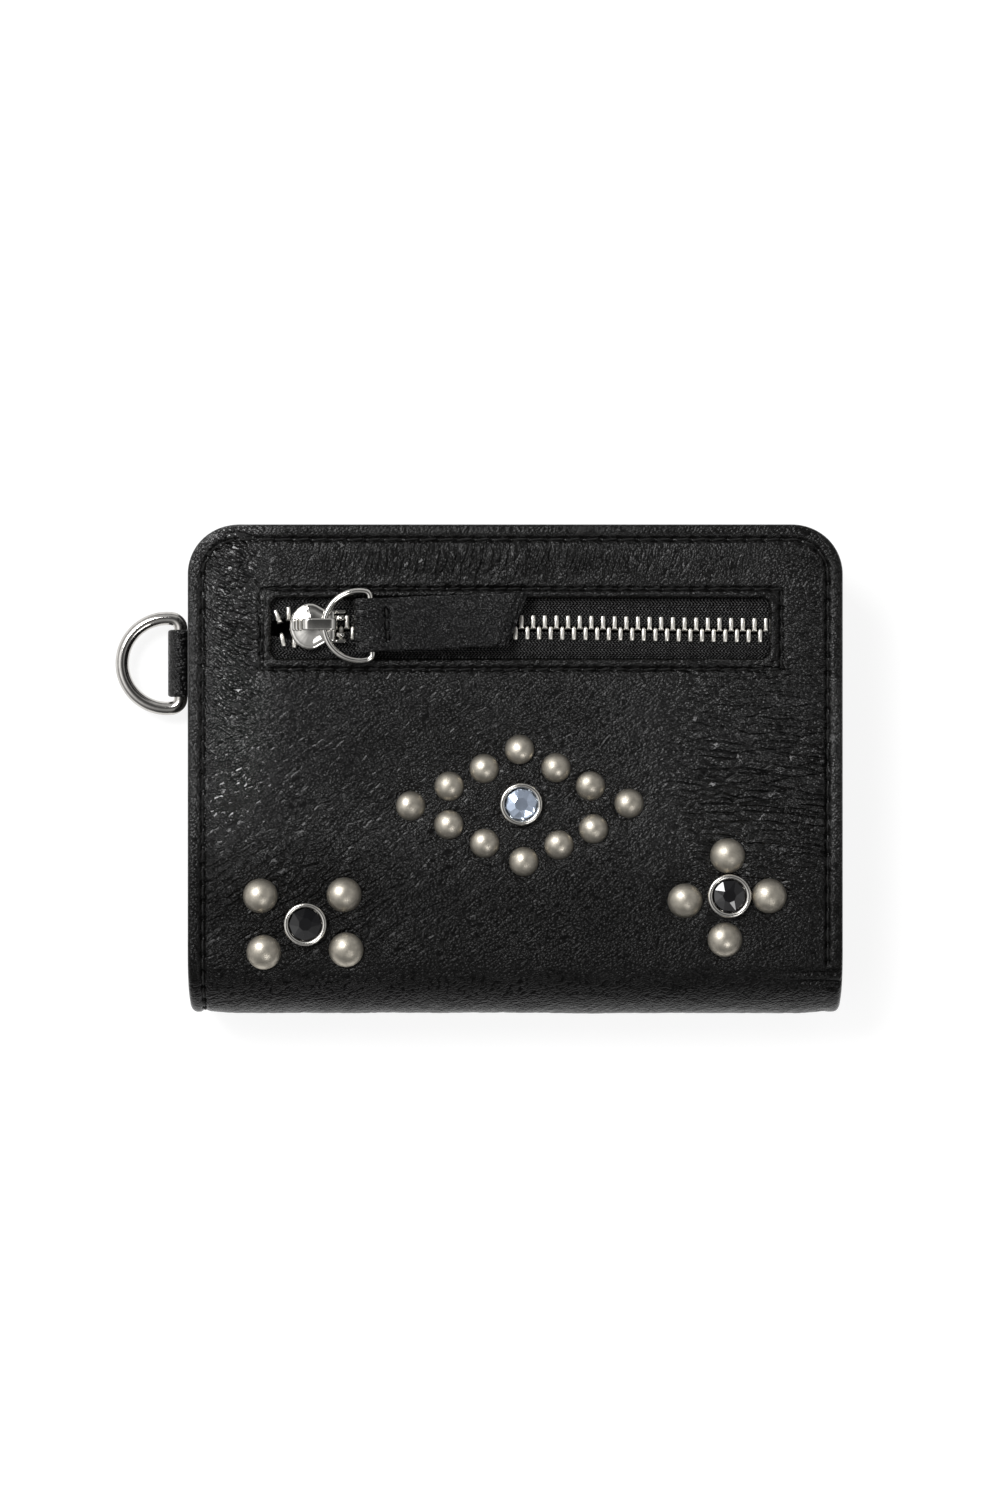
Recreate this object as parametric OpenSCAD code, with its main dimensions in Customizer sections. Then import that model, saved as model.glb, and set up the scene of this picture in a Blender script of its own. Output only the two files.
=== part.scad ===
// Compact bifold wallet with a zipped coin pocket, dome studs, set stones and a ring
// for a chain. Millimetres. The closed wallet lies on its back: +X is right, +Y is the
// open edge, the fold is at -Y and +Z leaves the studded front. The origin is the
// centre of the back face.

/* [Body] */
// Width of the closed wallet
body_w = 117; // [114:1:120]
// Height from the fold to the open edge
body_h = 88; // [86:1:92]
// Thickness of the closed wallet, which is also the diameter of its fold
body_t = 22; // [22:0.5:24]
// Radius of the two corners at the open edge
corner_r = 9; // [6:1:12]
// Thickness of the outer leather with its turned edge
leather_t = 1.4; // [1.2:0.1:1.6]
// Thickness of the fabric linings
lining_t = 0.4; // [0.3:0.1:0.5]

/* [Pockets] */
// Thickness of the inner leather panels
inner_t = 1; // [0.8:0.1:1.2]
// Thickness of one card slot, pressed flat
slot_t = 0.9; // [0.7:0.1:0.9]
// Height of the first card slot's mouth above the middle of the wallet
slot_top = 26; // [22:1:28]
// Step from one card slot's mouth to the next
slot_step = 10; // [8:1:11]
// Gap that the side seam leaves for bank notes
bill_gap = 2.6; // [2.4:0.1:2.8]
// Depth of the coin pocket below the zip's tape
pocket_gap = 4.8; // [4.6:0.1:5]

/* [Zip] */
// Height of the zip's centre line above the middle of the wallet
zip_y = 25.3; // [24:0.1:26]
// Length of the window that shows the zip
window_w = 89.7; // [88:0.1:91]
// Height of the window
window_h = 10.9; // [10.6:0.1:12]
// Distance from one tooth to the next in the same row
tooth_pitch = 2.09; // [2:0.01:2.2]
// Length of one tooth along the zip
tooth_w = 0.83; // [0.7:0.01:0.9]
// Radius of the slider's round plate
slider_r = 4.4; // [4:0.1:4.5]

/* [Pull] */
// Turn of the pull in the plane of the front, in degrees
pull_turn = 2.4; // [0:0.1:3]
// Radius of the pull ring to the middle of its wire
pull_ring_r = 6.25; // [6.1:0.05:6.5]
// Radius of the pull ring's wire
pull_wire_r = 0.5; // [0.4:0.05:0.5]
// Width of the leather pull
pull_w = 9.7; // [9:0.1:9.8]
// Length of the pull from its loop to the near corner of its slanted end
pull_len = 24.75; // [20:0.25:26]
// Extra length of the far corner of the slanted end
pull_slant = 4.4; // [3:0.1:6]

/* [Chain ring] */
// Radius of the chain ring to the middle of its wire
chain_ring_r = 8.25; // [8:0.05:9]
// Radius of the chain ring's wire
chain_wire_r = 1.25; // [1:0.05:1.25]
// Width of the leather tab that holds the ring
chain_tab_w = 12.3; // [11:0.1:12.4]
// Height of the ring's centre above the middle of the wallet
chain_y = 19.25; // [15:0.25:22]

/* [Trim] */
// Diameter of the small dome studs in the diamond
small_stud_d = 5.1; // [4.5:0.1:5.5]
// Diameter of the larger dome studs in the two side groups
large_stud_d = 6; // [5.5:0.1:6.4]
// Height of a dome as a share of its radius
dome_rise = 0.62; // [0.5:0.01:0.8]
// Half the width of the diamond of studs
diamond_x = 19.6; // [18:0.1:21]
// Half the height of the diamond of studs
diamond_y = 10.2; // [9.5:0.1:11]

/* [Hidden] */
$fn = 48;

leather_colour = [0.07, 0.07, 0.075];
lining_colour = [0.16, 0.16, 0.17];
tape_colour = [0.03, 0.03, 0.03];
nickel_colour = [0.80, 0.80, 0.80];
antique_colour = [0.62, 0.60, 0.55];

half_w = body_w / 2;
top_y = body_h / 2;
past = 1; // how far a cutting shape runs past what it cuts

// The fold is a half tube about fold_c, given as [y, z]
fold_r = body_t / 2;
fold_c = [fold_r - top_y, fold_r];
fold_y = fold_c[0];
fold_cut = 45; // the panels keep this much of the fold at each end, in degrees
fold_gap = 1;  // clearance at each cut, in degrees

// Layers of the back half, from the back face inwards
inner_inset = 1;
seam_w = 3.5;
bill_z = leather_t + lining_t;
back_inner_z = bill_z + bill_gap;
back_slot_z = back_inner_z + inner_t;

// Layers of the front half, from the front face inwards
tape_t = 0.6;
under_z = body_t - leather_t;
tape_z = under_z - tape_t;
pocket_z = tape_z - pocket_gap;
front_inner_z = pocket_z - lining_t - inner_t;
gusset_t = 1.2;
slot_inset = 1.5;
seam_rise = 0.5; // the sewn-in layers stop this far above the fold

// Window, with its right end a little nearer to the edge than its left
window_x = 0.75;
window_r = 1.4;

// Zip chain
tape_w = 11.2;
tape_len = 104;
channel = 0.6;   // half the channel between the rows, which the slider's neck runs in
grip_y = 1.2;    // the tape's edge lies this far from the centre line, inside the teeth
tooth_y = 2.25;  // back of a tooth
tooth_rise = 0.65;
tooth_z = [tape_z - tooth_rise, tape_z + tape_t + tooth_rise];
teeth_x = [-43.2, 45.2];
teeth_count = floor((teeth_x[1] - teeth_x[0]) / tooth_pitch);
stop_len = 1.6;

// Slider at the closed end
slider_x = -37.3;
slider_end_x = -30.2;
slider_half = 3.2;      // half width of the narrow end
slider_wall = 0.6;      // thickness of the side flanges
slider_gap = 0.15;      // clearance round the teeth and the tape
plate_t = 0.8;
neck_x = [-40.8, -39.4];
neck_half = 0.45;
plate_z = tooth_z[1] + slider_gap;
base_z = tooth_z[0] - slider_gap - plate_t;
bridge_half = 1;
bridge_x = [-40.6, -32];
bridge_foot = 1.1;
bridge_t = 0.7;

// Pull, in a frame of its own: its wire passes under the bridge at the local origin
pull_z = 23.75;
pull_at = [-34.45, 25.45, pull_z];
pull_bar_x = 8.45;
pull_bore_r = pull_wire_r + 0.1;
pull_loop_r = 1.45;
pull_strip_z = [-1.3, 0.5];
bridge_low = pull_z + pull_wire_r + 0.25;

// Chain ring
chain_bar_x = -61.4;
chain_arc_x = -63.9;
chain_corner_r = 1.8;
chain_z = 3.1;
chain_bore_r = chain_wire_r + 0.1;
chain_loop_r = 2.35;
chain_tail = 15;
chain_tail_t = 2.4;

// Trim: centres of the three groups
diamond_at = [0.9, -6.5];
left_at = [-37.9, -28];
right_at = [38.2, -23];
left_arm = [7.5, 5.1];
right_arm = 7.6;
shank_r = 0.5;
clinch_r = 1.3;
clinch_t = 0.4;
clinch_bite = 0.1; // the clinched tails are pressed this far into the back of the leather
bezel_floor = 0.35;
bezel_h = 1.3;
crystal_bezel_r = 3.8;
jet_bezel_r = 3.85;
crystal_r = 3.05;
jet_r = 2.8;
stone_gap = 0.05;
stone_sides = 12;
girdle_h = 0.75;
crown_h = 0.7;

// Points of an arc
function arc(centre, r, from, to, steps = 10) = [for (i = [0:steps])
    centre + r * [cos(from + (to - from) * i / steps), sin(from + (to - from) * i / steps)]];

// Outline of a panel, drawn in from the wallet's outline and starting at height low
function outline(inset, low) = concat(
    [[inset - half_w, low], [half_w - inset, low]],
    arc([half_w - corner_r, top_y - corner_r], corner_r - inset, 0, 90),
    arc([corner_r - half_w, top_y - corner_r], corner_r - inset, 90, 180));

// Cross-section of part of the fold
function fold_band(r, t, from, to) = concat(arc(fold_c, r, from, to), arc(fold_c, r - t, to, from));

function rounded_box(w, h, r) = concat(
    arc([w / 2 - r, r - h / 2], r, -90, 0, 6), arc([w / 2 - r, h / 2 - r], r, 0, 90, 6),
    arc([r - w / 2, h / 2 - r], r, 90, 180, 6), arc([r - w / 2, r - h / 2], r, 180, 270, 6));

function diamond_corner(i) = [[diamond_x, 0], [0, diamond_y], [-diamond_x, 0], [0, -diamond_y]][i % 4];
diamond_points = [for (i = [0:3]) for (k = [0:2])
    diamond_at + diamond_corner(i) + (diamond_corner(i + 1) - diamond_corner(i)) * k / 3];
left_points = [for (sx = [-1, 1]) for (sy = [-1, 1]) left_at + [sx * left_arm[0], sy * left_arm[1]]];
right_points = [for (i = [0:3]) right_at + right_arm * [cos(90 * i), sin(90 * i)]];
stone_points = [diamond_at, left_at, right_at];
trim_points = concat(diamond_points, left_points, right_points, stone_points);

// Draws a [y, z] outline and runs it along X
module along_x(length) {
    rotate([90, 0, 90]) linear_extrude(length, center = true) children();
}

// Flat layer of the wallet
module layer(inset, low, z, t) {
    translate([0, 0, z]) linear_extrude(t) polygon(outline(inset, low));
}

// Outer leather shell from its cross-section, with the rounded corners cut
module cover_shell(section) {
    intersection() {
        along_x(body_w + 2 * past) polygon(section);
        translate([0, 0, -past]) linear_extrude(body_t + 2 * past) polygon(outline(0, -top_y - past));
    }
}

module card_slot(i, z) {
    mouth = slot_top - (i - 1) * slot_step;
    low = fold_y + seam_rise + 1;
    translate([slot_inset - half_w, low, z]) cube([body_w - 2 * slot_inset, mouth - low, slot_t]);
}

// Wire ring of round wire with one straight bar, about the centre of its arc
module d_ring(r, wire_r, bar_x, corner) {
    yc = sqrt(pow(r - corner, 2) - pow(bar_x - corner, 2));
    turn = atan2(yc, bar_x - corner);
    rotate(turn) rotate_extrude(angle = 360 - 2 * turn) translate([r, 0]) circle(wire_r);
    for (side = [0, 1]) mirror([0, side, 0]) translate([bar_x - corner, yc])
        rotate_extrude(angle = turn) translate([corner, 0]) circle(wire_r);
    translate([bar_x, 0, 0]) rotate([90, 0, 0]) cylinder(h = 2 * yc, r = wire_r, center = true);
}

module along_y(r, length) {
    rotate([90, 0, 0]) cylinder(h = length, r = r, center = true);
}

// ---- back half ----

module back_panel() {
    color(leather_colour) cover_shell(concat(
        [[top_y + past, 0]], arc(fold_c, fold_r, 270, 270 - fold_cut),
        arc(fold_c, fold_r - leather_t, 270 - fold_cut, 270), [[top_y + past, leather_t]]));
}

module back_lining() {
    color(lining_colour) layer(inner_inset, fold_y, leather_t, lining_t);
}

// Seam along the left and the open edge; the right side stays open for bank notes
module back_hem() {
    color(leather_colour) difference() {
        layer(inner_inset, fold_y, bill_z, bill_gap);
        translate([seam_w + inner_inset - half_w, fold_y - past, bill_z - past])
            cube([body_w, top_y - fold_y - seam_w - inner_inset + past, bill_gap + 2 * past]);
        translate([-half_w - past, chain_y - chain_tab_w / 2 - 0.1, bill_z - past])
            cube([seam_w + 4, chain_tab_w + 0.2, bill_gap + 2 * past]);
    }
}

module back_inner_panel() {
    color(leather_colour) layer(inner_inset, fold_y + seam_rise, back_inner_z, inner_t);
}

module back_card_slot(i) {
    color(leather_colour) card_slot(i, back_slot_z + (i - 1) * slot_t);
}

// Strip folded round the ring's bar, its tail sewn in behind the inner panel
module chain_tab() {
    color(leather_colour) translate([chain_bar_x, chain_y, chain_z]) difference() {
        union() {
            along_y(chain_loop_r, chain_tab_w);
            translate([0, -chain_tab_w / 2, -chain_tail_t / 2]) cube([chain_tail, chain_tab_w, chain_tail_t]);
        }
        along_y(chain_bore_r, chain_tab_w + 2 * past);
    }
}

module chain_ring() {
    color(nickel_colour) translate([chain_arc_x, chain_y, chain_z])
        d_ring(chain_ring_r, chain_wire_r, chain_bar_x - chain_arc_x, chain_corner_r);
}

// ---- fold ----

module spine_panel() {
    color(leather_colour) along_x(body_w)
        polygon(fold_band(fold_r, leather_t, 270 - fold_cut - fold_gap, 90 + fold_cut + fold_gap));
}

module spine_lining() {
    color(lining_colour) along_x(body_w - 2 * inner_inset)
        polygon(fold_band(fold_r - leather_t, lining_t, 270 - fold_cut - fold_gap, 90 + fold_cut + fold_gap));
}

// ---- front half ----

module front_panel() {
    color(leather_colour) difference() {
        cover_shell(concat(
            [[top_y + past, body_t]], arc(fold_c, fold_r, 90, 90 + fold_cut),
            arc(fold_c, fold_r - leather_t, 90 + fold_cut, 90), [[top_y + past, under_z]]));
        translate([window_x, zip_y, under_z - past]) linear_extrude(leather_t + 2 * past)
            polygon(rounded_box(window_w, window_h, window_r));
        for (p = trim_points) translate([p[0], p[1], under_z - past]) {
            cylinder(h = leather_t + 2 * past, r = shank_r);
            cylinder(h = past + clinch_bite, r = clinch_r);
        }
    }
}

// side is 1 for the row towards the open edge and -1 for the row towards the fold
module zip_tape(side) {
    color(tape_colour) translate([-tape_len / 2, zip_y + (side > 0 ? grip_y : -grip_y - tape_w), tape_z])
        cube([tape_len, tape_w, tape_t]);
}

// Clamp that grips the edge of the tape from both faces
module zip_clamp(length, low, high) {
    along_x(length) polygon([[channel, low], [tooth_y, low], [tooth_y, tape_z], [grip_y, tape_z],
        [grip_y, tape_z + tape_t], [tooth_y, tape_z + tape_t], [tooth_y, high], [channel, high]]);
}

module zip_teeth(side) {
    color(nickel_colour) for (i = [0:teeth_count - 1])
        translate([teeth_x[0] + (i + (side > 0 ? 0 : 0.5)) * tooth_pitch, zip_y, 0])
            mirror([0, side > 0 ? 0 : 1, 0]) zip_clamp(tooth_w, tooth_z[0], tooth_z[1]);
}

// Stops lie under the leather, so they grip the tape from below only
module zip_top_stops() {
    color(nickel_colour) for (side = [0, 1]) translate([teeth_x[0] - 2 * stop_len, zip_y, 0])
        mirror([0, side, 0]) along_x(stop_len) polygon([[channel, tooth_z[0]], [tooth_y, tooth_z[0]],
            [tooth_y, tape_z], [grip_y, tape_z], [grip_y, under_z], [channel, under_z]]);
}

module zip_bottom_stop() {
    color(nickel_colour) translate([teeth_x[1] + stop_len, zip_y, 0])
        along_x(stop_len) polygon([[-tooth_y, tooth_z[0]], [tooth_y, tooth_z[0]], [tooth_y, tape_z],
            [grip_y, tape_z], [grip_y, under_z], [-grip_y, under_z], [-grip_y, tape_z], [-tooth_y, tape_z]]);
}

// Wall round the coin pocket, from its back to the front panel, with room for clinched tails
module coin_pocket_gusset() {
    low = fold_y + seam_rise;
    color(leather_colour) difference() {
        layer(inner_inset, low, pocket_z, under_z - pocket_z);
        layer(inner_inset + gusset_t, low + gusset_t, pocket_z - past, under_z - pocket_z + 2 * past);
        for (p = concat(left_points, right_points)) translate([p[0], p[1], under_z - clinch_t])
            cylinder(h = clinch_t + past, r = clinch_r + clinch_bite);
    }
}

module coin_pocket_lining() {
    color(lining_colour) layer(inner_inset, fold_y + seam_rise, pocket_z - lining_t, lining_t);
}

module front_inner_panel() {
    color(leather_colour) layer(inner_inset, fold_y + seam_rise, front_inner_z, inner_t);
}

module front_card_slot(i) {
    color(leather_colour) card_slot(i, front_inner_z - i * slot_t);
}

// Domes with a shank through the leather and a clinched tail behind it
module studs(points, d) {
    r = d / 2;
    rise = dome_rise * r;
    ball = (r * r + rise * rise) / (2 * rise);
    color(antique_colour) for (p = points) translate([p[0], p[1], body_t]) {
        intersection() {
            translate([0, 0, rise - ball]) sphere(ball);
            cylinder(h = rise + past, r = r + past);
        }
        clinched_shank();
    }
}

// Shank down from a stud's foot, with its tail spread behind the leather
module clinched_shank() {
    translate([0, 0, -leather_t]) cylinder(h = leather_t + bezel_floor, r = shank_r);
    translate([0, 0, -leather_t + clinch_bite - clinch_t]) cylinder(h = clinch_t, r = clinch_r);
}

// Cup with a rounded rim that holds a stone
module bezel(at, outer_r, inner_r) {
    rim = (outer_r - inner_r) / 2;
    color(nickel_colour) translate([at[0], at[1], body_t]) {
        rotate_extrude() polygon(concat([[0, 0], [outer_r, 0]],
            arc([outer_r - rim, bezel_h - rim], rim, 0, 180, 8), [[inner_r, bezel_floor], [0, bezel_floor]]));
        clinched_shank();
    }
}

// Brilliant cut stone with a flat table
module stone(at, r, colour) {
    color(colour) translate([at[0], at[1], body_t + bezel_floor]) {
        cylinder(h = girdle_h, r = r - stone_gap, $fn = stone_sides);
        translate([0, 0, girdle_h])
            cylinder(h = crown_h, r1 = r - stone_gap, r2 = 0.55 * r, $fn = stone_sides);
    }
}

// ---- zip slider and pull ----

// One plate of the slider: a disc over the parting rows and a narrow end over the closed chain
module slider_plate(z) {
    translate([slider_x, zip_y, z]) cylinder(h = plate_t, r = slider_r);
    translate([slider_x, zip_y - slider_half, z])
        cube([slider_end_x - slider_x, 2 * slider_half, plate_t]);
}

module slider_body() {
    slot = [tape_z - slider_gap, tape_z + tape_t + slider_gap];
    low = base_z + plate_t;
    color(nickel_colour) {
        slider_plate(plate_z);
        slider_plate(base_z);
        translate([neck_x[0], zip_y - neck_half, low - 0.1])
            cube([neck_x[1] - neck_x[0], 2 * neck_half, plate_z - low + 0.2]);
        for (side = [0, 1]) translate([slider_x, zip_y, 0]) mirror([0, side, 0]) {
            translate([0, slider_half - slider_wall, low - 0.1])
                cube([slider_end_x - slider_x, slider_wall, slot[0] - low + 0.1]);
            translate([0, slider_half - slider_wall, slot[1]])
                cube([slider_end_x - slider_x, slider_wall, plate_z - slot[1] + 0.1]);
        }
    }
}

// Arch over the slider that the pull ring hangs in
module slider_bridge() {
    low = plate_z + plate_t;
    high = bridge_low + bridge_t;
    color(nickel_colour) translate([0, zip_y, 0]) rotate([90, 0, 0])
        linear_extrude(2 * bridge_half, center = true) polygon([
            [bridge_x[0], low], [bridge_x[0] + bridge_foot, low],
            [bridge_x[0] + bridge_foot, bridge_low - 0.5], [bridge_x[0] + bridge_foot + 0.5, bridge_low],
            [bridge_x[1] - bridge_foot - 0.2, bridge_low], [bridge_x[1] - bridge_foot, bridge_low - 0.2],
            [bridge_x[1] - bridge_foot, low], [bridge_x[1], low], [bridge_x[1], high - 0.6],
            [bridge_x[1] - 0.6, high], [bridge_x[0] + 0.9, high], [bridge_x[0], high - 0.9]]);
}

// Places the pull's own frame on the wallet
module in_pull_frame() {
    translate(pull_at) rotate(pull_turn) children();
}

// Arc of wire closed by a straight bar that crosses its two ends
module pull_ring() {
    turn = acos((pull_bar_x - pull_ring_r) / pull_ring_r);
    color(nickel_colour) in_pull_frame() {
        translate([pull_ring_r, 0, 0]) rotate(turn) rotate_extrude(angle = 360 - 2 * turn)
            translate([pull_ring_r, 0]) circle(pull_wire_r);
        translate([pull_bar_x, 0, 0]) along_y(pull_wire_r, 2 * (pull_ring_r * sin(turn) + pull_wire_r));
    }
}

// Strip folded round the ring's bar, with a slanted end
module pull_tab() {
    color(leather_colour) in_pull_frame() translate([pull_bar_x, 0, 0]) difference() {
        union() {
            along_y(pull_loop_r, pull_w);
            translate([0, 0, pull_strip_z[0]]) linear_extrude(pull_strip_z[1] - pull_strip_z[0])
                polygon([[0, -pull_w / 2], [pull_len, -pull_w / 2], [pull_len + pull_slant, pull_w / 2],
                    [0, pull_w / 2]]);
        }
        along_y(pull_bore_r, pull_w + 2 * past);
    }
}

back_panel();
back_lining();
back_hem();
back_inner_panel();
back_card_slot(1);  // back_card_slot_1
back_card_slot(2);  // back_card_slot_2
back_card_slot(3);  // back_card_slot_3
chain_tab();
spine_panel();
spine_lining();
front_panel();
zip_tape(1);  // zip_tape_upper
zip_tape(-1);  // zip_tape_lower
zip_teeth(1);  // zip_teeth_upper
zip_teeth(-1);  // zip_teeth_lower
zip_top_stops();
zip_bottom_stop();
coin_pocket_gusset();
coin_pocket_lining();
front_inner_panel();
front_card_slot(1);  // front_card_slot_1
front_card_slot(2);  // front_card_slot_2
front_card_slot(3);  // front_card_slot_3
studs(diamond_points, small_stud_d);  // diamond_studs
studs(left_points, large_stud_d);  // left_studs
studs(right_points, large_stud_d);  // right_studs
bezel(diamond_at, crystal_bezel_r, crystal_r);  // crystal_bezel
bezel(left_at, jet_bezel_r, jet_r);  // left_bezel
bezel(right_at, jet_bezel_r, jet_r);  // right_bezel
stone(diamond_at, crystal_r, [0.75, 0.85, 0.95, 0.7]);  // crystal_stone
stone(left_at, jet_r, [0.02, 0.02, 0.02]);  // left_stone
stone(right_at, jet_r, [0.02, 0.02, 0.02]);  // right_stone
slider_body();
slider_bridge();
pull_ring();
pull_tab();
chain_ring();
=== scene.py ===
"""Looks of a black leather bifold wallet with a zipped coin pocket, dome studs, set stones
and a ring for a chain. Lengths are millimetres until a mesh is made, in the CAD's frame."""
import math

import bmesh
import bpy
import numpy as np
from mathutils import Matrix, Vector


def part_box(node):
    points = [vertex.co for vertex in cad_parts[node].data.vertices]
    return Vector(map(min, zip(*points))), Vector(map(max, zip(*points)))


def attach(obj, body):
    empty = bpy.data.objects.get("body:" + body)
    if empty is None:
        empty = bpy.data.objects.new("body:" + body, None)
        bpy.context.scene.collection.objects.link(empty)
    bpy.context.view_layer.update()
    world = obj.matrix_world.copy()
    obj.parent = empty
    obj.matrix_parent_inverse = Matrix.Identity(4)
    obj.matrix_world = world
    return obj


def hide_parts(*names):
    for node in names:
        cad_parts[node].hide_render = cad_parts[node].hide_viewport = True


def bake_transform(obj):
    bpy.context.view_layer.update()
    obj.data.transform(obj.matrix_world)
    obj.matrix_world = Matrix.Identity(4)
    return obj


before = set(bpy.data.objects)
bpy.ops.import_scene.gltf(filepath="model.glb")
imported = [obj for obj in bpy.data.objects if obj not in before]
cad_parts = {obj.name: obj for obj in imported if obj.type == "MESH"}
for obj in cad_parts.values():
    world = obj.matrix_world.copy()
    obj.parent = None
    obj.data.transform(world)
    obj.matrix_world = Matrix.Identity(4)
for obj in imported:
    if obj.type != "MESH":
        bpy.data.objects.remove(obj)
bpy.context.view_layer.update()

MM = 0.001


def node_box(name):
    """A CAD node's corners in millimetres."""
    low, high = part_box(name)
    return np.array(low) / MM, np.array(high) / MM


# ---------------------------------------------------------------- sizes

HALF_W, TOP_Y, BODY_T = node_box("front_panel")[1]
FOLD_R = BODY_T / 2
FOLD_Y = FOLD_R - TOP_Y
MID_V = FOLD_Y - math.pi * FOLD_R / 2  # the fold's outermost line on the flat leather
CORNER_R = 9.0
EDGE_R = 0.62  # the leather's turned edges are rounded by this much
END_R = 1.4  # and the fold's ends by this much

WINDOW = (-44.1, 45.6, 19.85, 30.7)  # left, right, bottom and top
WINDOW_R = 1.5
FRAME_SEAM = (-45.8, 47.7, 17.9, 32.4)
FRAME_PITCH = 2.75
SEAM_INSET = 2.7
SEAM_PITCH = 3.25
SEAM_STOP = -35.3  # the right seam ends here, just above the fold

SMALL_R, LARGE_R = 2.66, 3.14
CRYSTAL_RIM, JET_RIM = 3.8, 3.85
DIAMOND = (0.95, -6.4)
LEFT_GROUP = (-37.9, -28.0)
RIGHT_GROUP = (38.4, -22.9)
# The studs were set by hand, so each is a little off its true place.
DIAMOND_STUDS = [(0.6, 3.5), (7.3, 0.2), (13.4, -3.1), (20.4, -6.2), (13.9, -10.8), (7.7, -13.7),
                 (1.3, -16.7), (-5.6, -13.4), (-12.1, -10.1), (-18.9, -6.6), (-12.0, -3.1), (-5.8, 0.0)]
LEFT_STUDS = [(-46.1, -22.9), (-30.9, -22.7), (-45.4, -33.1), (-30.5, -32.7)]
RIGHT_STUDS = [(45.6, -22.9), (38.1, -15.6), (30.4, -23.7), (37.6, -30.7)]
ALL_TRIM = ([(*place, SMALL_R) for place in DIAMOND_STUDS]
            + [(*place, LARGE_R) for place in LEFT_STUDS + RIGHT_STUDS]
            + [(*DIAMOND, CRYSTAL_RIM), (*LEFT_GROUP, JET_RIM), (*RIGHT_GROUP, JET_RIM)])


# ---------------------------------------------------------------- numbers and noise


def perlin(x, y, seed):
    """Smooth noise of about -0.7 to 0.7 at points x, y."""
    rng = np.random.default_rng(seed)
    order = rng.permutation(256)
    turn = rng.random(256) * 2 * math.pi
    gx, gy = np.cos(turn), np.sin(turn)
    x0, y0 = np.floor(x).astype(int), np.floor(y).astype(int)
    fx, fy = x - x0, y - y0

    def corner(i, k):
        pick = order[(order[(x0 + i) & 255] + y0 + k) & 255]
        return gx[pick] * (fx - i) + gy[pick] * (fy - k)

    sx, sy = smooth(fx), smooth(fy)
    low = corner(0, 0) + sx * (corner(1, 0) - corner(0, 0))
    high = corner(0, 1) + sx * (corner(1, 1) - corner(0, 1))
    return low + sy * (high - low)


def smooth(t):
    """0 up to t = 0, 1 from t = 1 on, with a soft step between."""
    t = np.clip(t, 0, 1)
    return t * t * (3 - 2 * t)


def bell(t):
    """1 at t = 0, falling to nothing on both sides."""
    return np.exp(-t * t)


def creases(x, y, angle, length, width, seed, sharp=0.13):
    """Narrow valleys from 0 to -1 that run along an angle in degrees."""
    c, s = math.cos(math.radians(angle)), math.sin(math.radians(angle))
    along, across = x * c + y * s, y * c - x * s
    across = across + 0.9 * perlin(along / 7, across / 7, seed + 1)
    return -bell(perlin(along / length, across / width, seed) / sharp)


def rounded_fall(distance, r):
    """How far an edge rounded to radius r has dropped at a distance in from its rim."""
    return np.where(distance < r, r - np.sqrt(np.maximum(r ** 2 - (r - distance) ** 2, 0)), 0)


def unit(vectors):
    """The same directions at length 1."""
    return vectors / np.linalg.norm(vectors, axis=-1, keepdims=True)


# ---------------------------------------------------------------- paths


def running(steps):
    """Sum of the steps up to each of them, from 0."""
    return np.concatenate([[0], np.cumsum(steps)])


def graded(low, high, fine_at, fine, coarse):
    """Positions from low to high that crowd together near the fine_at values."""
    t = np.linspace(low, high, 2000)
    near = np.min([np.abs(t - f) for f in fine_at], axis=0)
    step = fine + (coarse - fine) * smooth(near / 2.5)
    count = running(np.diff(t) / (0.5 * (step[1:] + step[:-1])))
    cells = max(1, int(round(count[-1])))
    return np.interp(np.linspace(0, count[-1], cells + 1), count, t)


def joined(pieces):
    """One list of positions from stretches that share their end values."""
    return np.concatenate([pieces[0]] + [p[1:] for p in pieces[1:]])


def lengths(path):
    """Length along a path at each of its points."""
    return running(np.linalg.norm(np.diff(path, axis=0), axis=1))


def points_at(path, at):
    """Points of a path at the given lengths along it."""
    return np.stack([np.interp(at, lengths(path), column) for column in np.transpose(path)], 1)


def resampled(loop, count):
    """A closed outline as count evenly spaced points."""
    closed = np.concatenate([loop, loop[:1]])
    return points_at(closed, np.linspace(0, lengths(closed)[-1], count, endpoint=False))


def spread(points, count):
    """count points along a list of points, with equal shares between each pair."""
    t = np.linspace(0, len(points) - 1, count)
    return np.stack([np.interp(t, range(len(points)), column) for column in np.transpose(points)], 1)


def softened(path, times):
    """A path with its corners rounded by averaging neighbours."""
    for _ in range(times):
        path[1:-1] = (path[:-2] + 2 * path[1:-1] + path[2:]) / 4
    return path


def inward_of(loop):
    """Directions into a closed anticlockwise outline at each of its points."""
    ahead = unit(np.roll(loop, -1, 0) - np.roll(loop, 1, 0))
    return np.stack([-ahead[:, 1], ahead[:, 0]], 1)


def arc(x, y, r, start, end, count):
    """Points of an arc about (x, y), its angles in degrees."""
    turn = np.radians(np.linspace(start, end, count))
    return np.stack([x + r * np.cos(turn), y + r * np.sin(turn)], 1)


def circle(r, sides=20):
    """Outline of a circle."""
    return arc(0, 0, r, 0, 360, sides + 1)[:-1]


def rounded_rect(w, h, r, steps=5, at=(0.0, 0.0)):
    """Outline of a rectangle with round corners, anticlockwise about a point."""
    x, y = w / 2 - r, h / 2 - r
    corners = ((x, y, 0), (-x, y, 90), (-x, -y, 180), (x, -y, 270))
    return np.concatenate([arc(cx, cy, r, start, start + 90, steps + 1) for cx, cy, start in corners]) + at


# ---------------------------------------------------------------- meshes


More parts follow.
